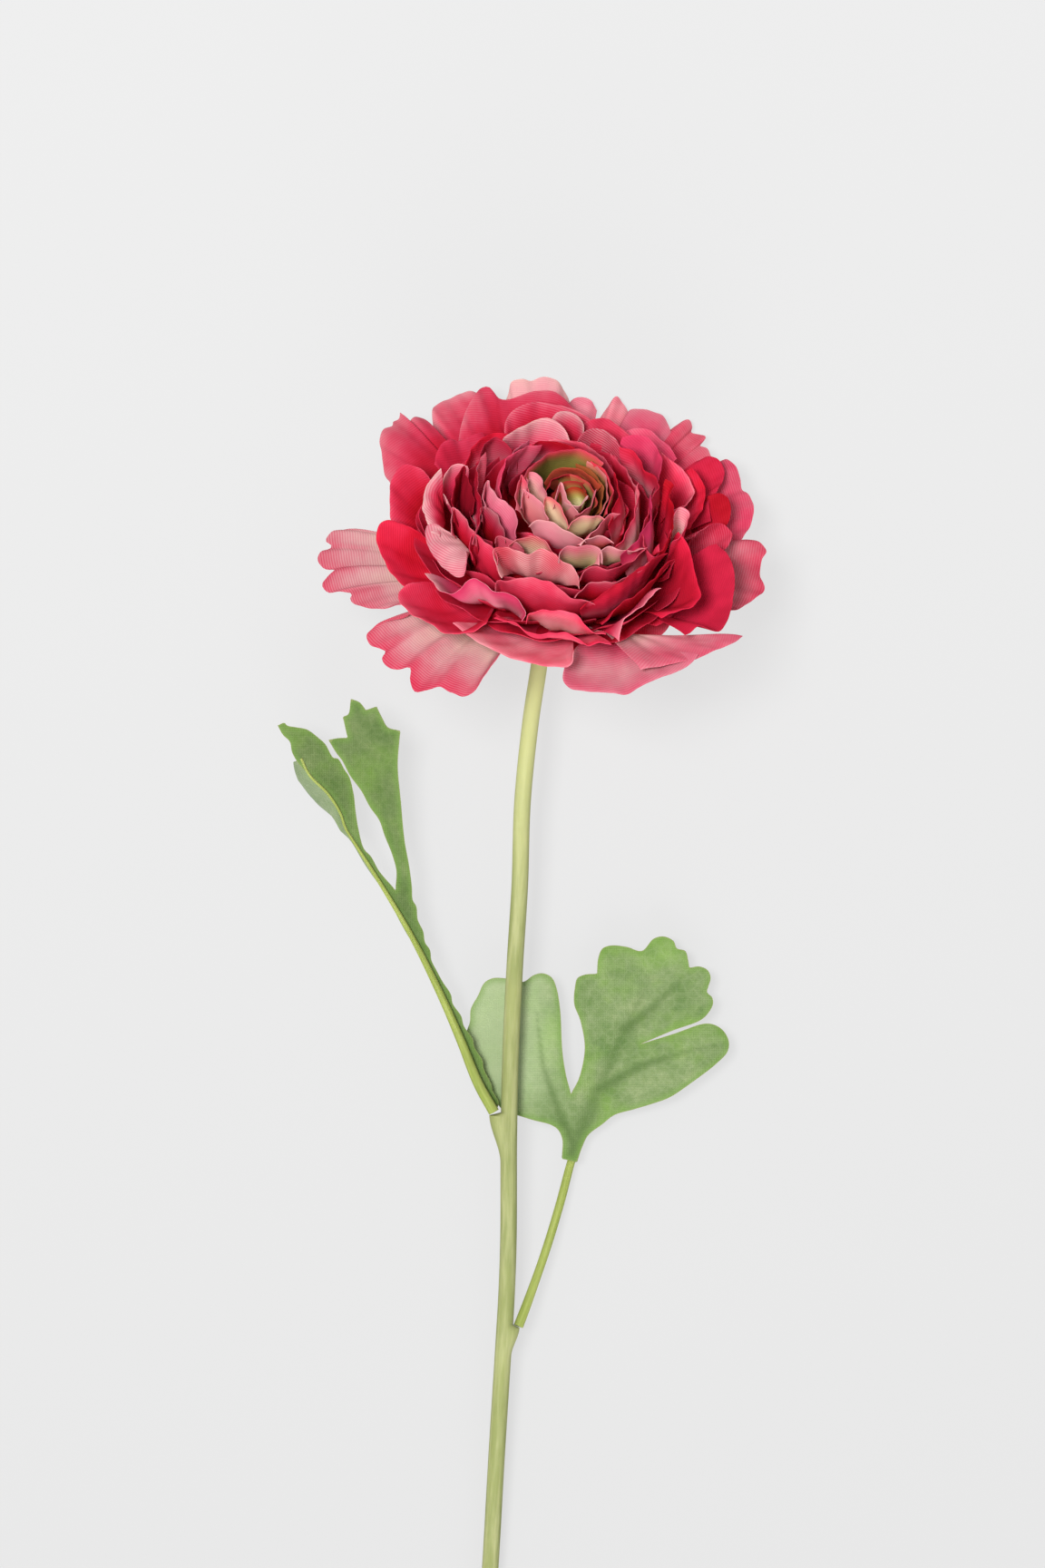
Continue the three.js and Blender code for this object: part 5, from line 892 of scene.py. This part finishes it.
LEAF_WEAVE = 0.5
LEAF_RELIEF = 0.00008
LEAF_GREENS = [
    (0.32, (0.080, 0.150, 0.036)), (0.44, (0.128, 0.195, 0.065)), (0.56, (0.172, 0.235, 0.096)),
    (0.70, (0.240, 0.292, 0.134)),
]
SPECK_GREEN = (0.110, 0.180, 0.045)
FRESH_GREEN = (0.165, 0.290, 0.045)
NET_GREEN = (0.36, 0.42, 0.24)
LIGHT_GREEN = (0.38, 0.46, 0.26)
SHADED = (0.48, 0.55, 0.30)
RIB_GREEN = (0.065, 0.120, 0.025)
BORDER_GREEN = (0.130, 0.240, 0.040)
CUT_EDGE = (0.30, 0.28, 0.12)


def leaf_material():
    """Printed cloth: mottled green, darker along the ribs, with a fine pale net and a tan cut edge. Whole
    lobes and leaves are made lighter or darker by painted light and shade.
    """
    n = Nodes("leaf_cloth")
    cloth = n.attribute("cloth")
    x, y, vein = n.split(cloth)
    margin, light, _ = n.split(n.attribute("leaf"))
    specks = n.noise(cloth, 0.9, 4.0, 0.62)
    body = n.ramp(n.noise(cloth, 0.13, 5.0, 0.62), LEAF_GREENS)
    body = n.mix(n.math("MULTIPLY_ADD", specks, 1.6, -0.55), body, SPECK_GREEN)
    body = n.mix(n.math("MULTIPLY_ADD", n.noise(cloth, 0.07, 3.0, 0.62), 3.0, -1.45), body, FRESH_GREEN)
    net = n.add("ShaderNodeTexVoronoi", {"Vector": cloth, "Scale": 0.5}, feature="DISTANCE_TO_EDGE")
    body = n.mix(n.fade(net.outputs["Distance"], 0.2, 0.09), body, NET_GREEN)
    # Painted light and painted shade over whole lobes and leaves
    body = n.mix(n.math("MULTIPLY", light, 0.6), body, LIGHT_GREEN)
    body = n.mix(n.math("MULTIPLY", light, -0.8), body, SHADED, "MULTIPLY")
    body = n.mix(n.math("MULTIPLY", vein, 0.85), body, RIB_GREEN)
    body = n.mix(n.fade(margin, 1.8, 0.55), body, BORDER_GREEN)
    body = n.mix(n.fade(margin, 0.25, 0.4), body, CUT_EDGE)
    weave = n.math("ADD", n.threads(x, LEAF_WEAVE), n.threads(y, LEAF_WEAVE))
    bump = n.bump(n.math("MULTIPLY_ADD", specks, 2.0, weave), 0.3, LEAF_RELIEF)
    gloss = {"Specular IOR Level": 0.25, "Sheen Weight": 0.15, "Sheen Roughness": 0.5}
    return n.cloth(body, bump, 0.2, gloss)


def steel_material():
    n = Nodes("wire_steel")
    grain = n.add("ShaderNodeTexNoise", {"Scale": 2500.0, "Detail": 2.0}).outputs["Fac"]
    return n.surface(n.add("ShaderNodeBsdfPrincipled", {
        "Base Color": n.mix(grain, (0.35, 0.34, 0.32), (0.55, 0.55, 0.54)),
        "Metallic": 1.0, "Roughness": 0.4,
    }))


# Each plastic's colour, its darker patches and its streaks
STEM_PLASTIC = plastic_material("stem_plastic", (0.232, 0.252, 0.094), (0.143, 0.168, 0.052),
                                (0.318, 0.324, 0.160), pale=(0.382, 0.395, 0.175))
STALK_PLASTIC = plastic_material("stalk_plastic", (0.215, 0.256, 0.058), (0.140, 0.180, 0.028),
                                 (0.270, 0.302, 0.090))
CALYX_PLASTIC = plastic_material("calyx_plastic", (0.30, 0.38, 0.12), (0.20, 0.28, 0.07),
                                 (0.36, 0.42, 0.16))
LEAF_CLOTH = leaf_material()
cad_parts["stem_wire"].data.materials.clear()
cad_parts["stem_wire"].data.materials.append(steel_material())


# Petal pieces

LATHE_SIDES = 48
ON_AXIS = 1e-6
# Painted shade: the hubs take a deep crimson tone, so that they read as shade where they show between
# petals
HUB_TONE = 0.1
HUB_WEAVE = 0.3
HUB_HOLE = 2.6


def add_lathe(parts, profile):
    """A solid of revolution round the bloom's axis. Its profile closes on itself, or starts and ends
    on the axis."""
    turn = np.linspace(0, 2 * np.pi, LATHE_SIDES, endpoint=False)
    points, faces, rows = [], [], []
    for r, z in profile:
        if r < ON_AXIS:
            rows.append([len(points)])
            points.append([0, 0, z])
        else:
            rows.append(list(range(len(points), len(points) + LATHE_SIDES)))
            points += [[r * math.cos(t), r * math.sin(t), z] for t in turn]
    pairs = list(zip(rows, rows[1:]))
    if profile[0][0] > ON_AXIS:
        pairs.append((rows[-1], rows[0]))
    for a, b in pairs:
        for k in range(LATHE_SIDES):
            n = (k + 1) % LATHE_SIDES
            ring_a = [a[0]] if len(a) == 1 else [a[k], a[n]]
            ring_b = [b[0]] if len(b) == 1 else [b[n], b[k]]
            faces.append(ring_a + ring_b)
    points = np.array(points, float)
    cloth = points * (1, 1, 0.1) + (0, 0, 9)
    count = (len(points),)
    parts.add(from_bloom(pressed(points)), faces, cloth=cloth, petal=filled(count, HUB_TONE),
              weave=filled(count, HUB_WEAVE))


def petal_piece(name, material, node, hub, drawn, style, grid, fill, fill_grid, seed):
    """A layer of the bloom: its hub, its drawn petals and the ones under them."""
    parts = Parts()
    add_lathe(parts, hub)
    for i, petal in enumerate(drawn):
        drawn_petal(parts, **{"seed": seed + i, "grid": grid, **style, **petal})
    for petal in fill:
        add_petal(parts, petal, *fill_grid)
    build_mesh(name, parts, petal_material(material), node)


petal_piece("guard_petal_cloth", "pale_petal_cloth", "guard_petals",
            [(HUB_HOLE, 0.4), (8.4, 0.4), (8.4, 2.2), (HUB_HOLE, 2.6)],
            GUARDS, GUARD_STYLE, (24, 81), GUARD_FILL, (20, 25), 1000)
petal_piece("crimson_petal_cloth", "crimson_petal_cloth", "crimson_petals",
            [(HUB_HOLE, 3.9), (22, 3.9), (22, 7.4), (HUB_HOLE, 7.4)],
            CRIMSON, CRIMSON_STYLE, (24, 49), CRIMSON_FILL, (18, 25), 1100)
petal_piece("ruffled_petal_cloth", "ruffled_petal_cloth", "ruffled_petals",
            [(HUB_HOLE, 8.8), (22.8, 8.8), (22.8, 10.8), (14, 15.8), (11.5, 16.8), (HUB_HOLE, 16.8)],
            RUFFLED, RUFFLED_STYLE, (22, 41), RUFFLED_FILL, (16, 23), 1200)
petal_piece("heart_cloth", "heart_cloth", "heart",
            [(0, 18), (8.2, 18), (7.4, 20), (4, 22), (0, 22.6)],
            HEART, HEART_STYLE, (18, 31), HEART_FILL, (14, 19), 1300)

SOCKET = STEM_RADIUS + GAP
calyx_parts = Parts()
add_lathe(calyx_parts, [
    (0, -1.2), (SOCKET, -1.2), (SOCKET, -6), (2.6, -6.1), (3.1, -5.9), (3.5, -4.6), (4.4, -3), (5.7, -1.5),
    (7, -0.5), (7, -0.05), (2.2, 0), (2.2, 17.2), (2.0, 17.4), (0, 17.4),
])
build_mesh("calyx_cup", calyx_parts, CALYX_PLASTIC, "calyx")


# Stem

STEM_RINGS = 420
STEM_SIDES = 32
BORE_END = 10  # the ring below the bloom where the wire's bore ends
BOSSES = [(-73.0, 11.0, 2.6, -1), (-120.6, 6.5, 1.5, 1)]  # top, reach, bulge and side of each
STREAK = 0.06  # how fast the plastic's streaks change along a rod, against round it
STREAK_ROUND = 1.5


def down(distance):
    return BLOOM_BASE - AXIS * distance


STEM_POINTS = np.vstack([
    [down(1.5), down(4), down(7.5)],
    placed(*np.array([
        [4.2, 30, 18.2], [3.4, 24.4, 16.9], [1.8, 13.8, 15.9], [0, -4, 14.9], [-0.6, -22.2, 13.8],
        [-1.7, -40.2, 12.8], [-2.6, -59, 11.9], [-3, -77, 11.1], [-3.1, -100, 9.4], [-3.5, -112.2, 8.8],
        [-4.2, -124, 8], [-5.7, -148, 6.4], [-7.2, -174, 4.7], [-9.6, -206, 3.3],
        [-11.6, -232.8, 1.85],
    ]).T),
])


def sweep(path, radii, sides):
    """Rings of points round a path. radii is one number a ring, or one a ring and side."""
    tangent = unit(np.gradient(path, axis=0))
    normal = np.array((1.0, 0.01, 0.02))
    turn = np.linspace(0, 2 * np.pi, sides, endpoint=False)
    rings = []
    for centre, t, r in zip(path, tangent, radii):
        normal = unit(normal - normal @ t * t)
        binormal = np.cross(t, normal)
        rings.append(centre + np.outer(r * np.cos(turn), normal) + np.outer(r * np.sin(turn), binormal))
    return np.array(rings)


def add_tube(parts, rings, bore=None):
    """A rod closed by its two ends, or with the rings of a bore the wall of a pipe."""
    sides = rings.shape[1]
    stack = rings if bore is None else np.vstack([rings, bore[::-1]])
    total = len(stack)
    faces = []
    for i in range(total if bore is not None else total - 1):
        a, b = i * sides, (i + 1) % total * sides
        for k in range(sides):
            n = (k + 1) % sides
            faces.append((a + k, a + n, b + n, b + k))
    if bore is None:
        faces.append(tuple(range(sides - 1, -1, -1)))
        faces.append(tuple(range((total - 1) * sides, total * sides)))
    turn = np.linspace(0, 2 * np.pi, sides, endpoint=False)
    run = np.cumsum(np.linalg.norm(np.diff(stack.mean(1), axis=0, prepend=stack[:1].mean(1)), axis=1))
    streaks = filled((total, sides), STREAK_ROUND * np.cos(turn), STREAK_ROUND * np.sin(turn),
                     STREAK * run[:, None])
    parts.add(stack.reshape(-1, 3), faces, cloth=streaks.reshape(-1, 3))


def boss_radii(path, top, reach, bulge, side):
    """How much a boss adds to the stem's radius towards -x or +x, over its reach below its top."""
    turn = np.linspace(0, 2 * np.pi, STEM_SIDES, endpoint=False)
    y = path[:, 1]
    fade = np.where(y <= top, smooth(1 - (top - y) / reach), 0)
    return bulge * np.outer(fade, np.maximum(0, side * np.cos(turn)) ** 2)


stem_path = spline(STEM_POINTS, STEM_RINGS)
stem_radii = np.full((STEM_RINGS, STEM_SIDES), STEM_RADIUS)
for boss in BOSSES:
    stem_radii = stem_radii + boss_radii(stem_path, *boss)
stem_radii[:3] *= 0.97
bore_rings = sweep(stem_path, np.full((STEM_RINGS, STEM_SIDES), WIRE_RADIUS + GAP), STEM_SIDES)
stem_parts = Parts()
add_tube(stem_parts, sweep(stem_path, stem_radii, STEM_SIDES), bore_rings[BORE_END:])
stem_y = stem_parts.points[0][:, 1]
# Paler towards the bloom: partly the plastic's own colour, partly painted light on the neck, which the
# bloom shades
neck_share = 0.75 * smooth((stem_y + 45) / 60) + 0.25 * smooth((stem_y - 5) / 20)
stem_parts.values["along"] = [filled(stem_y.shape, neck_share)]
build_mesh("stem_rod", stem_parts, STEM_PLASTIC, "stem")


# Leaves

TOOTH_COSINE = -0.35  # two edges that meet at a smaller angle than this make a tooth or a notch
TOOTH_SHARE = 0.2
EDGE_DENSITY = 1.6  # points on the edge, against the spacing inside
ROW_SPACING = 0.87  # from row to row inside, as a share of the spacing
EDGE_CLEAR = 0.55  # from the edge to the points inside, as a share of the spacing
VEIN_DEPTH = 0.25


def along(x, y, run):
    """Distance to a run of points, how far along it, and the nearest point's y."""
    run = np.array(run, float)
    best = np.full(x.shape, np.inf)
    share, near_y = np.zeros(x.shape), np.zeros(x.shape)
    for i, ((ax, ay), (bx, by)) in enumerate(zip(run, run[1:])):
        length = (bx - ax) ** 2 + (by - ay) ** 2
        t = np.clip(((x - ax) * (bx - ax) + (y - ay) * (by - ay)) / length, 0, 1)
        distance = np.hypot(x - ax - t * (bx - ax), y - ay - t * (by - ay))
        closer = distance < best
        best = np.where(closer, distance, best)
        share = np.where(closer, (i + t) / (len(run) - 1), share)
        near_y = np.where(closer, ay + t * (by - ay), near_y)
    return best, share, near_y


def crisp(outline):
    """The outline with two more points beside every tooth and notch, which keep it pointed."""
    points = np.array(outline, float)
    made = []
    for before, point, after in zip(np.roll(points, 1, 0), points, np.roll(points, -1, 0)):
        back, ahead = before - point, after - point
        if back @ ahead > TOOTH_COSINE * np.linalg.norm(back) * np.linalg.norm(ahead):
            made += [point + TOOTH_SHARE * back, point, point + TOOTH_SHARE * ahead]
        else:
            made.append(point)
    return np.array(made)


def add_blade(parts, outline, height, veins, spacing, light):
    """A leaf blade cut to a smooth outline with pointed teeth."""
    outline = crisp(outline)
    count = int(run_length(np.vstack([outline, outline[:1]]))[-1] / spacing * EDGE_DENSITY)
    edge = spline(outline, count, closed=True)
    round_edge = np.vstack([edge, edge[:1]])
    low, high = edge.min(0), edge.max(0)
    inside = np.array([
        (x, y)
        for k, y in enumerate(np.arange(low[1], high[1], spacing * ROW_SPACING))
        for x in np.arange(low[0] + (k % 2) * spacing / 2, high[0], spacing)
    ])
    distance, _, _ = along(inside[:, 0], inside[:, 1], round_edge)
    points = np.vstack([edge, inside[distance > EDGE_CLEAR * spacing]])
    ring_edges = [(i, (i + 1) % count) for i in range(count)]
    flat, _, faces, *_ = delaunay_2d_cdt([tuple(p) for p in points], ring_edges, [], 1, 1e-5)
    x, y = np.array([tuple(p) for p in flat]).T
    margin, _, _ = along(x, y, round_edge)
    vein = np.zeros(len(x))
    for run, width in veins:
        d, share, _ = along(x, y, run)
        vein = np.maximum(vein, np.exp(-((d / (width * (1.15 - share))) ** 2)) * (1 - 0.6 * share))
    middle, east, west, north, south = (
        placed(x + dx, y + dy, height(x + dx, y + dy))
        for dx, dy in ((0, 0), (0.1, 0), (-0.1, 0), (0, 0.1), (0, -0.1))
    )
    middle[:, 2] -= VEIN_DEPTH * vein
    parts.add_sheet(middle, unit(np.cross(east - west, north - south)), [list(f) for f in faces],
                    LEAF_THICKNESS, cloth=filled(x.shape, x, y, vein),
                    leaf=filled(x.shape, margin, light(x, y)))


RIGHT_OUTLINE = [
    (8.7, -82.6), (12, -83.4), (13.1, -80.2), (14.5, -77.4), (17.6, -75), (20.2, -73), (24.6, -71.7),
    (28.9, -70.4), (32.4, -69.1), (37.2, -65.9), (42.8, -61.6), (45.2, -59), (45.5, -56.8),
    (44.3, -54.4), (42.4, -53.1), (40.2, -52.8), (33.2, -55.1), (26.1, -57.3), (33, -54.4),
    (39.2, -52.1), (40.8, -50.7), (42, -48.5), (41.8, -47), (40.7, -45.9), (41, -44.6), (41.5, -42.7),
    (40.8, -41), (38.9, -40.2), (36.8, -40.5), (36.5, -38.8), (35.9, -36.8), (34, -36.2), (33.3, -34.6),
    (31.1, -33.6), (28.9, -34.1), (26.3, -36.8), (23, -35.9), (19.4, -35.6), (17.6, -36.3),
    (16.7, -38.4), (16.4, -41.8), (13.8, -42), (12.1, -42.8), (11.6, -44.6), (11.4, -48.5), (12.7, -52),
    (13.7, -57.2), (13.5, -60.6), (12.4, -65), (10.7, -68.3), (9.6, -64.2), (8.8, -59), (8.3, -49.8),
    (7.5, -45), (6.4, -42.6), (4.4, -41.7), (2.5, -42.1), (0.2, -43.6), (-1.6, -43.2), (-4, -42.8),
    (-6.6, -42.8), (-8.4, -43.8), (-9.8, -46.6), (-11.4, -49.6), (-11.6, -52.4), (-12.4, -55.4),
    (-10.4, -60.2), (-8, -65.2), (-6, -69.6), (-4, -72.2), (-1.2, -73), (2.4, -74.1), (6.4, -75.2),
    (7.9, -76.3), (8.8, -78.4),
]
RIGHT_MIDRIB = [(10.8, -83), (13.2, -76), (16.8, -67.2), (22.6, -54), (28.5, -42)]
RIGHT_VEINS = [
    (RIGHT_MIDRIB, 2.2),
    ([(11.6, -80), (8, -72), (4.5, -62), (3, -50)], 1.2),
    ([(16.8, -67.2), (26, -62), (36, -59), (43, -57.5)], 1.1),
    ([(22.6, -54), (30, -48), (36.5, -41.5)], 1.2),
]


def right_height(x, y):
    distance, share, _ = along(x, y, RIGHT_MIDRIB)
    rise = 2.6 * (1 - np.exp(-distance / 9))
    return 4.7 - 0.7 * share + rise + 0.5 * np.sin(x / 5.2 + 1) * np.minimum(1, distance / 12)


def right_light(x, y):
    """Painted light: the left lobe is paler."""
    return smooth((14 - x) / 18) * smooth((y + 76) / 12)


right_parts = Parts()
add_blade(right_parts, RIGHT_OUTLINE, right_height, RIGHT_VEINS, 0.8, right_light)
build_mesh("right_leaf_cloth", right_parts, LEAF_CLOTH, "right_leaf_blade")

LEFT_RIB = [
    (-6.3, -72.3), (-9.8, -66), (-13.6, -56.6), (-17.6, -47.4), (-24, -34.4), (-29.2, -25.4),
    (-33.7, -18.2), (-37.3, -12.6), (-39, -9.8), (-40.3, -6.2), (-42.9, -2.2), (-47, 2), (-48.8, 5.6),
]
LEFT_OUTLINE = [
    (-5.6, -71.4), (-5.2, -70.4), (-6.6, -67.6), (-6.9, -66.2), (-8.6, -62.6), (-8.8, -61),
    (-10.6, -58), (-11, -56.2), (-13, -53.2), (-13.5, -51.2), (-15.4, -48.4), (-15.8, -46.4),
    (-17.6, -43.6), (-18.9, -41.2), (-20.1, -38.8), (-20.4, -36.6), (-21.5, -34.9), (-21.9, -32.5),
    (-23.1, -29.9), (-23.4, -27), (-24.2, -25.6), (-24.4, -22.6), (-25, -18), (-26, -12.4),
    (-26.8, -4), (-27.5, 4), (-27, 11.7), (-29.7, 12.5), (-30.9, 14.5), (-32.2, 17.1), (-34.5, 16.3),
    (-35.9, 18), (-37.8, 18.8), (-38.4, 15.4), (-39.6, 14.8), (-38.6, 10.2), (-40.8, 10.1), (-42.8, 9.7),
    (-41.1, 6.9), (-39.8, 5.2), (-38, 1.8), (-35.5, -1.6), (-33.7, -5), (-31.6, -8), (-30.4, -11.4),
    (-28.8, -15.4), (-27.8, -19.2), (-28, -23.4), (-31.6, -19.2), (-33.4, -16), (-35, -14.2),
    (-36.2, -9.8), (-36.8, -6), (-37.2, -2.4), (-38.2, 1.6), (-39.2, 3.1), (-40.7, 5.6), (-41.7, 5.8),
    (-43.5, 8.8), (-44.9, 10.1), (-47.5, 12), (-49.9, 12.5), (-51.9, 12.9), (-52.5, 13.5), (-54, 12.9),
    (-52.8, 10.8), (-51.3, 9.3), (-50.8, 7), (-49.5, 4.7), (-48, 3), (-46.2, 1.2), (-42.9, -2.2),
    (-40.4, -6.2), (-39, -9.8), (-37.3, -12.6), (-33.7, -18.2), (-29.2, -25.4), (-24, -34.4),
    (-17.6, -47.4), (-13.6, -56.6), (-9.8, -66), (-7, -70.4),
]
LEFT_VEINS = [(LEFT_RIB, 0.8), ([(-27, -22), (-30, -8), (-33, 6)], 0.5)]
LEFT_LIGHT = -0.8  # below nothing: painted shade, so the whole leaf is darker
HANGING_GRID = (90, 14)
HANGING_START = 0.04  # the share of the rib at which the hanging half starts
RIB_SIDES = 16


def rib_share(y):
    return (y - LEFT_RIB[0][1]) / (LEFT_RIB[-1][1] - LEFT_RIB[0][1])


def rib_height(y):
    return 11.9 + 4.5 * rib_share(y) + 3.5 * rib_share(y) ** 2


def rib_radius(y):
    """The rib's radius in the source, which the blade's height follows."""
    return np.maximum(0.35, 1.2 - 1.8 * rib_share(y))


def rib_seen(y):
    """The rib's radius here, which stays thicker towards the tip."""
    return np.maximum(0.3, 1.2 - 1.15 * rib_share(y))


def left_height(x, y):
    distance, _, near_y = along(x, y, LEFT_RIB)
    top = rib_height(near_y) - rib_radius(near_y) - GAP - 0.4
    return top - 0.25 * distance + 0.012 * distance ** 2


def left_light(x, y):
    return np.full(x.shape, LEFT_LIGHT)


def add_hanging_half(parts):
    """The far half of the left leaf, which hangs down from its rib and is mostly hidden."""
    rows, columns = HANGING_GRID
    u, v = np.meshgrid(np.linspace(0, 1, rows), np.linspace(-1, 1, columns), indexing="ij")
    share = HANGING_START + (1 - HANGING_START) * u
    rib = np.array(LEFT_RIB)
    x, y = (np.interp(share * (len(rib) - 1), range(len(rib)), rib[:, k]) for k in (0, 1))
    width = 2 + 8 * np.exp(-(((share - 0.86) / 0.16) ** 2)) + 0.5 * np.sin(40 * share)
    reach = (v + 1) / 2 * width
    half = placed(x + 0.4 - 0.34 * reach, y - 0.12 * reach, left_height(x, y) - reach * 0.95 + 0.1)
    # Its margin is given as 3, and it takes a little painted light
    parts.add_sheet(half, grid_normals(half), grid_faces(rows, columns), LEAF_THICKNESS,
                    cloth=filled(u.shape, reach, 60 * u), leaf=filled(u.shape, 3, 0.15))


left_parts = Parts()
add_blade(left_parts, LEFT_OUTLINE, left_height, LEFT_VEINS, 0.7, left_light)
add_hanging_half(left_parts)
build_mesh("left_leaf_cloth", left_parts, LEAF_CLOTH, "left_leaf_blade")


def add_stalk(name, line, radii, node):
    parts = Parts()
    add_tube(parts, sweep(line, radii, RIB_SIDES))
    build_mesh(name, parts, STALK_PLASTIC, node)


rib_line = spline([
    placed(x, y, rib_height(y) - rib_radius(y) + rib_seen(y) - 0.6 * smooth(4 * rib_share(y)))
    for x, y in LEFT_RIB
], 120)
add_stalk("left_leaf_stalk", rib_line, rib_seen(rib_line[:, 1]), "left_leaf_rib")

stalk_line = spline(placed(*np.array([
    [-0.9, -119.5, 7.7], [1.2, -114, 6.7], [5.4, -102, 4.9], [8.4, -92, 3.7], [10.8, -83, 3.1],
    [13.2, -76, 2.95], [16.8, -67.2, 2.75], [22.6, -54, 2.5],
]).T), 100)
stalk_share = np.linspace(0, 1, 100)
stalk_radii = 0.95 - 0.5 * np.maximum(0, stalk_share - 0.45) + 0.15 * smooth(1 - 5 * stalk_share)
add_stalk("right_leaf_stalk_rod", stalk_line, stalk_radii, "right_leaf_stalk")


# Stage and light

FLOOR_HALF = 4.0
WHITE = (1, 1, 1, 1)
SOFT_LIGHT = 0.62
LIGHT_TARGET = np.array([0, 0.08, 0.03])


def make_stage():
    """A pale floor, a little brighter towards the bloom, as in the photo."""
    n = Nodes("pale_surface")
    paper = n.add("ShaderNodeBsdfDiffuse", {"Color": (0.80, 0.80, 0.80, 1)})
    # Painted light: the floor's glow is a little stronger towards the bloom
    _, y, _ = n.split(n.position())
    level = n.add("ShaderNodeMapRange", {
        "Value": y, "From Min": -0.1, "From Max": 0.25, "To Min": 0.705, "To Max": 0.765,
    }).outputs[0]
    glow = n.add("ShaderNodeEmission", {"Color": WHITE, "Strength": level})
    both = n.add("ShaderNodeMixShader", {"Fac": 0.9, 1: paper.outputs[0], 2: glow.outputs[0]})
    data = bpy.data.meshes.new("pale_floor")
    corners = [(FLOOR_HALF * x, FLOOR_HALF * y, 0) for x, y in ((-1, -1), (1, -1), (1, 1), (-1, 1))]
    data.from_pydata(corners, [], [(0, 1, 2, 3)])
    data.materials.append(n.surface(both))
    floor = bpy.data.objects.new("pale_floor", data)
    bpy.context.scene.collection.objects.link(floor)


def make_light(name, place, size, power):
    data = bpy.data.lights.new(name, "AREA")
    data.size = size
    data.energy = power
    lamp = bpy.data.objects.new(name, data)
    bpy.context.scene.collection.objects.link(lamp)
    lamp.location = place
    lamp.rotation_euler = Vector(LIGHT_TARGET - np.array(place)).to_track_quat("-Z", "Y").to_euler()


def make_world():
    world = bpy.data.worlds.new("soft_light")
    bpy.context.scene.world = world
    world.use_nodes = True
    background = world.node_tree.nodes["Background"]
    background.inputs["Color"].default_value = WHITE
    background.inputs["Strength"].default_value = SOFT_LIGHT


make_stage()
make_world()
make_light("key", (-0.35, 0.22, 1.43), 0.45, 29)
make_light("fill", (0.1, -1.2, 0.6), 1.0, 17)
bpy.context.scene.view_settings.view_transform = "Standard"
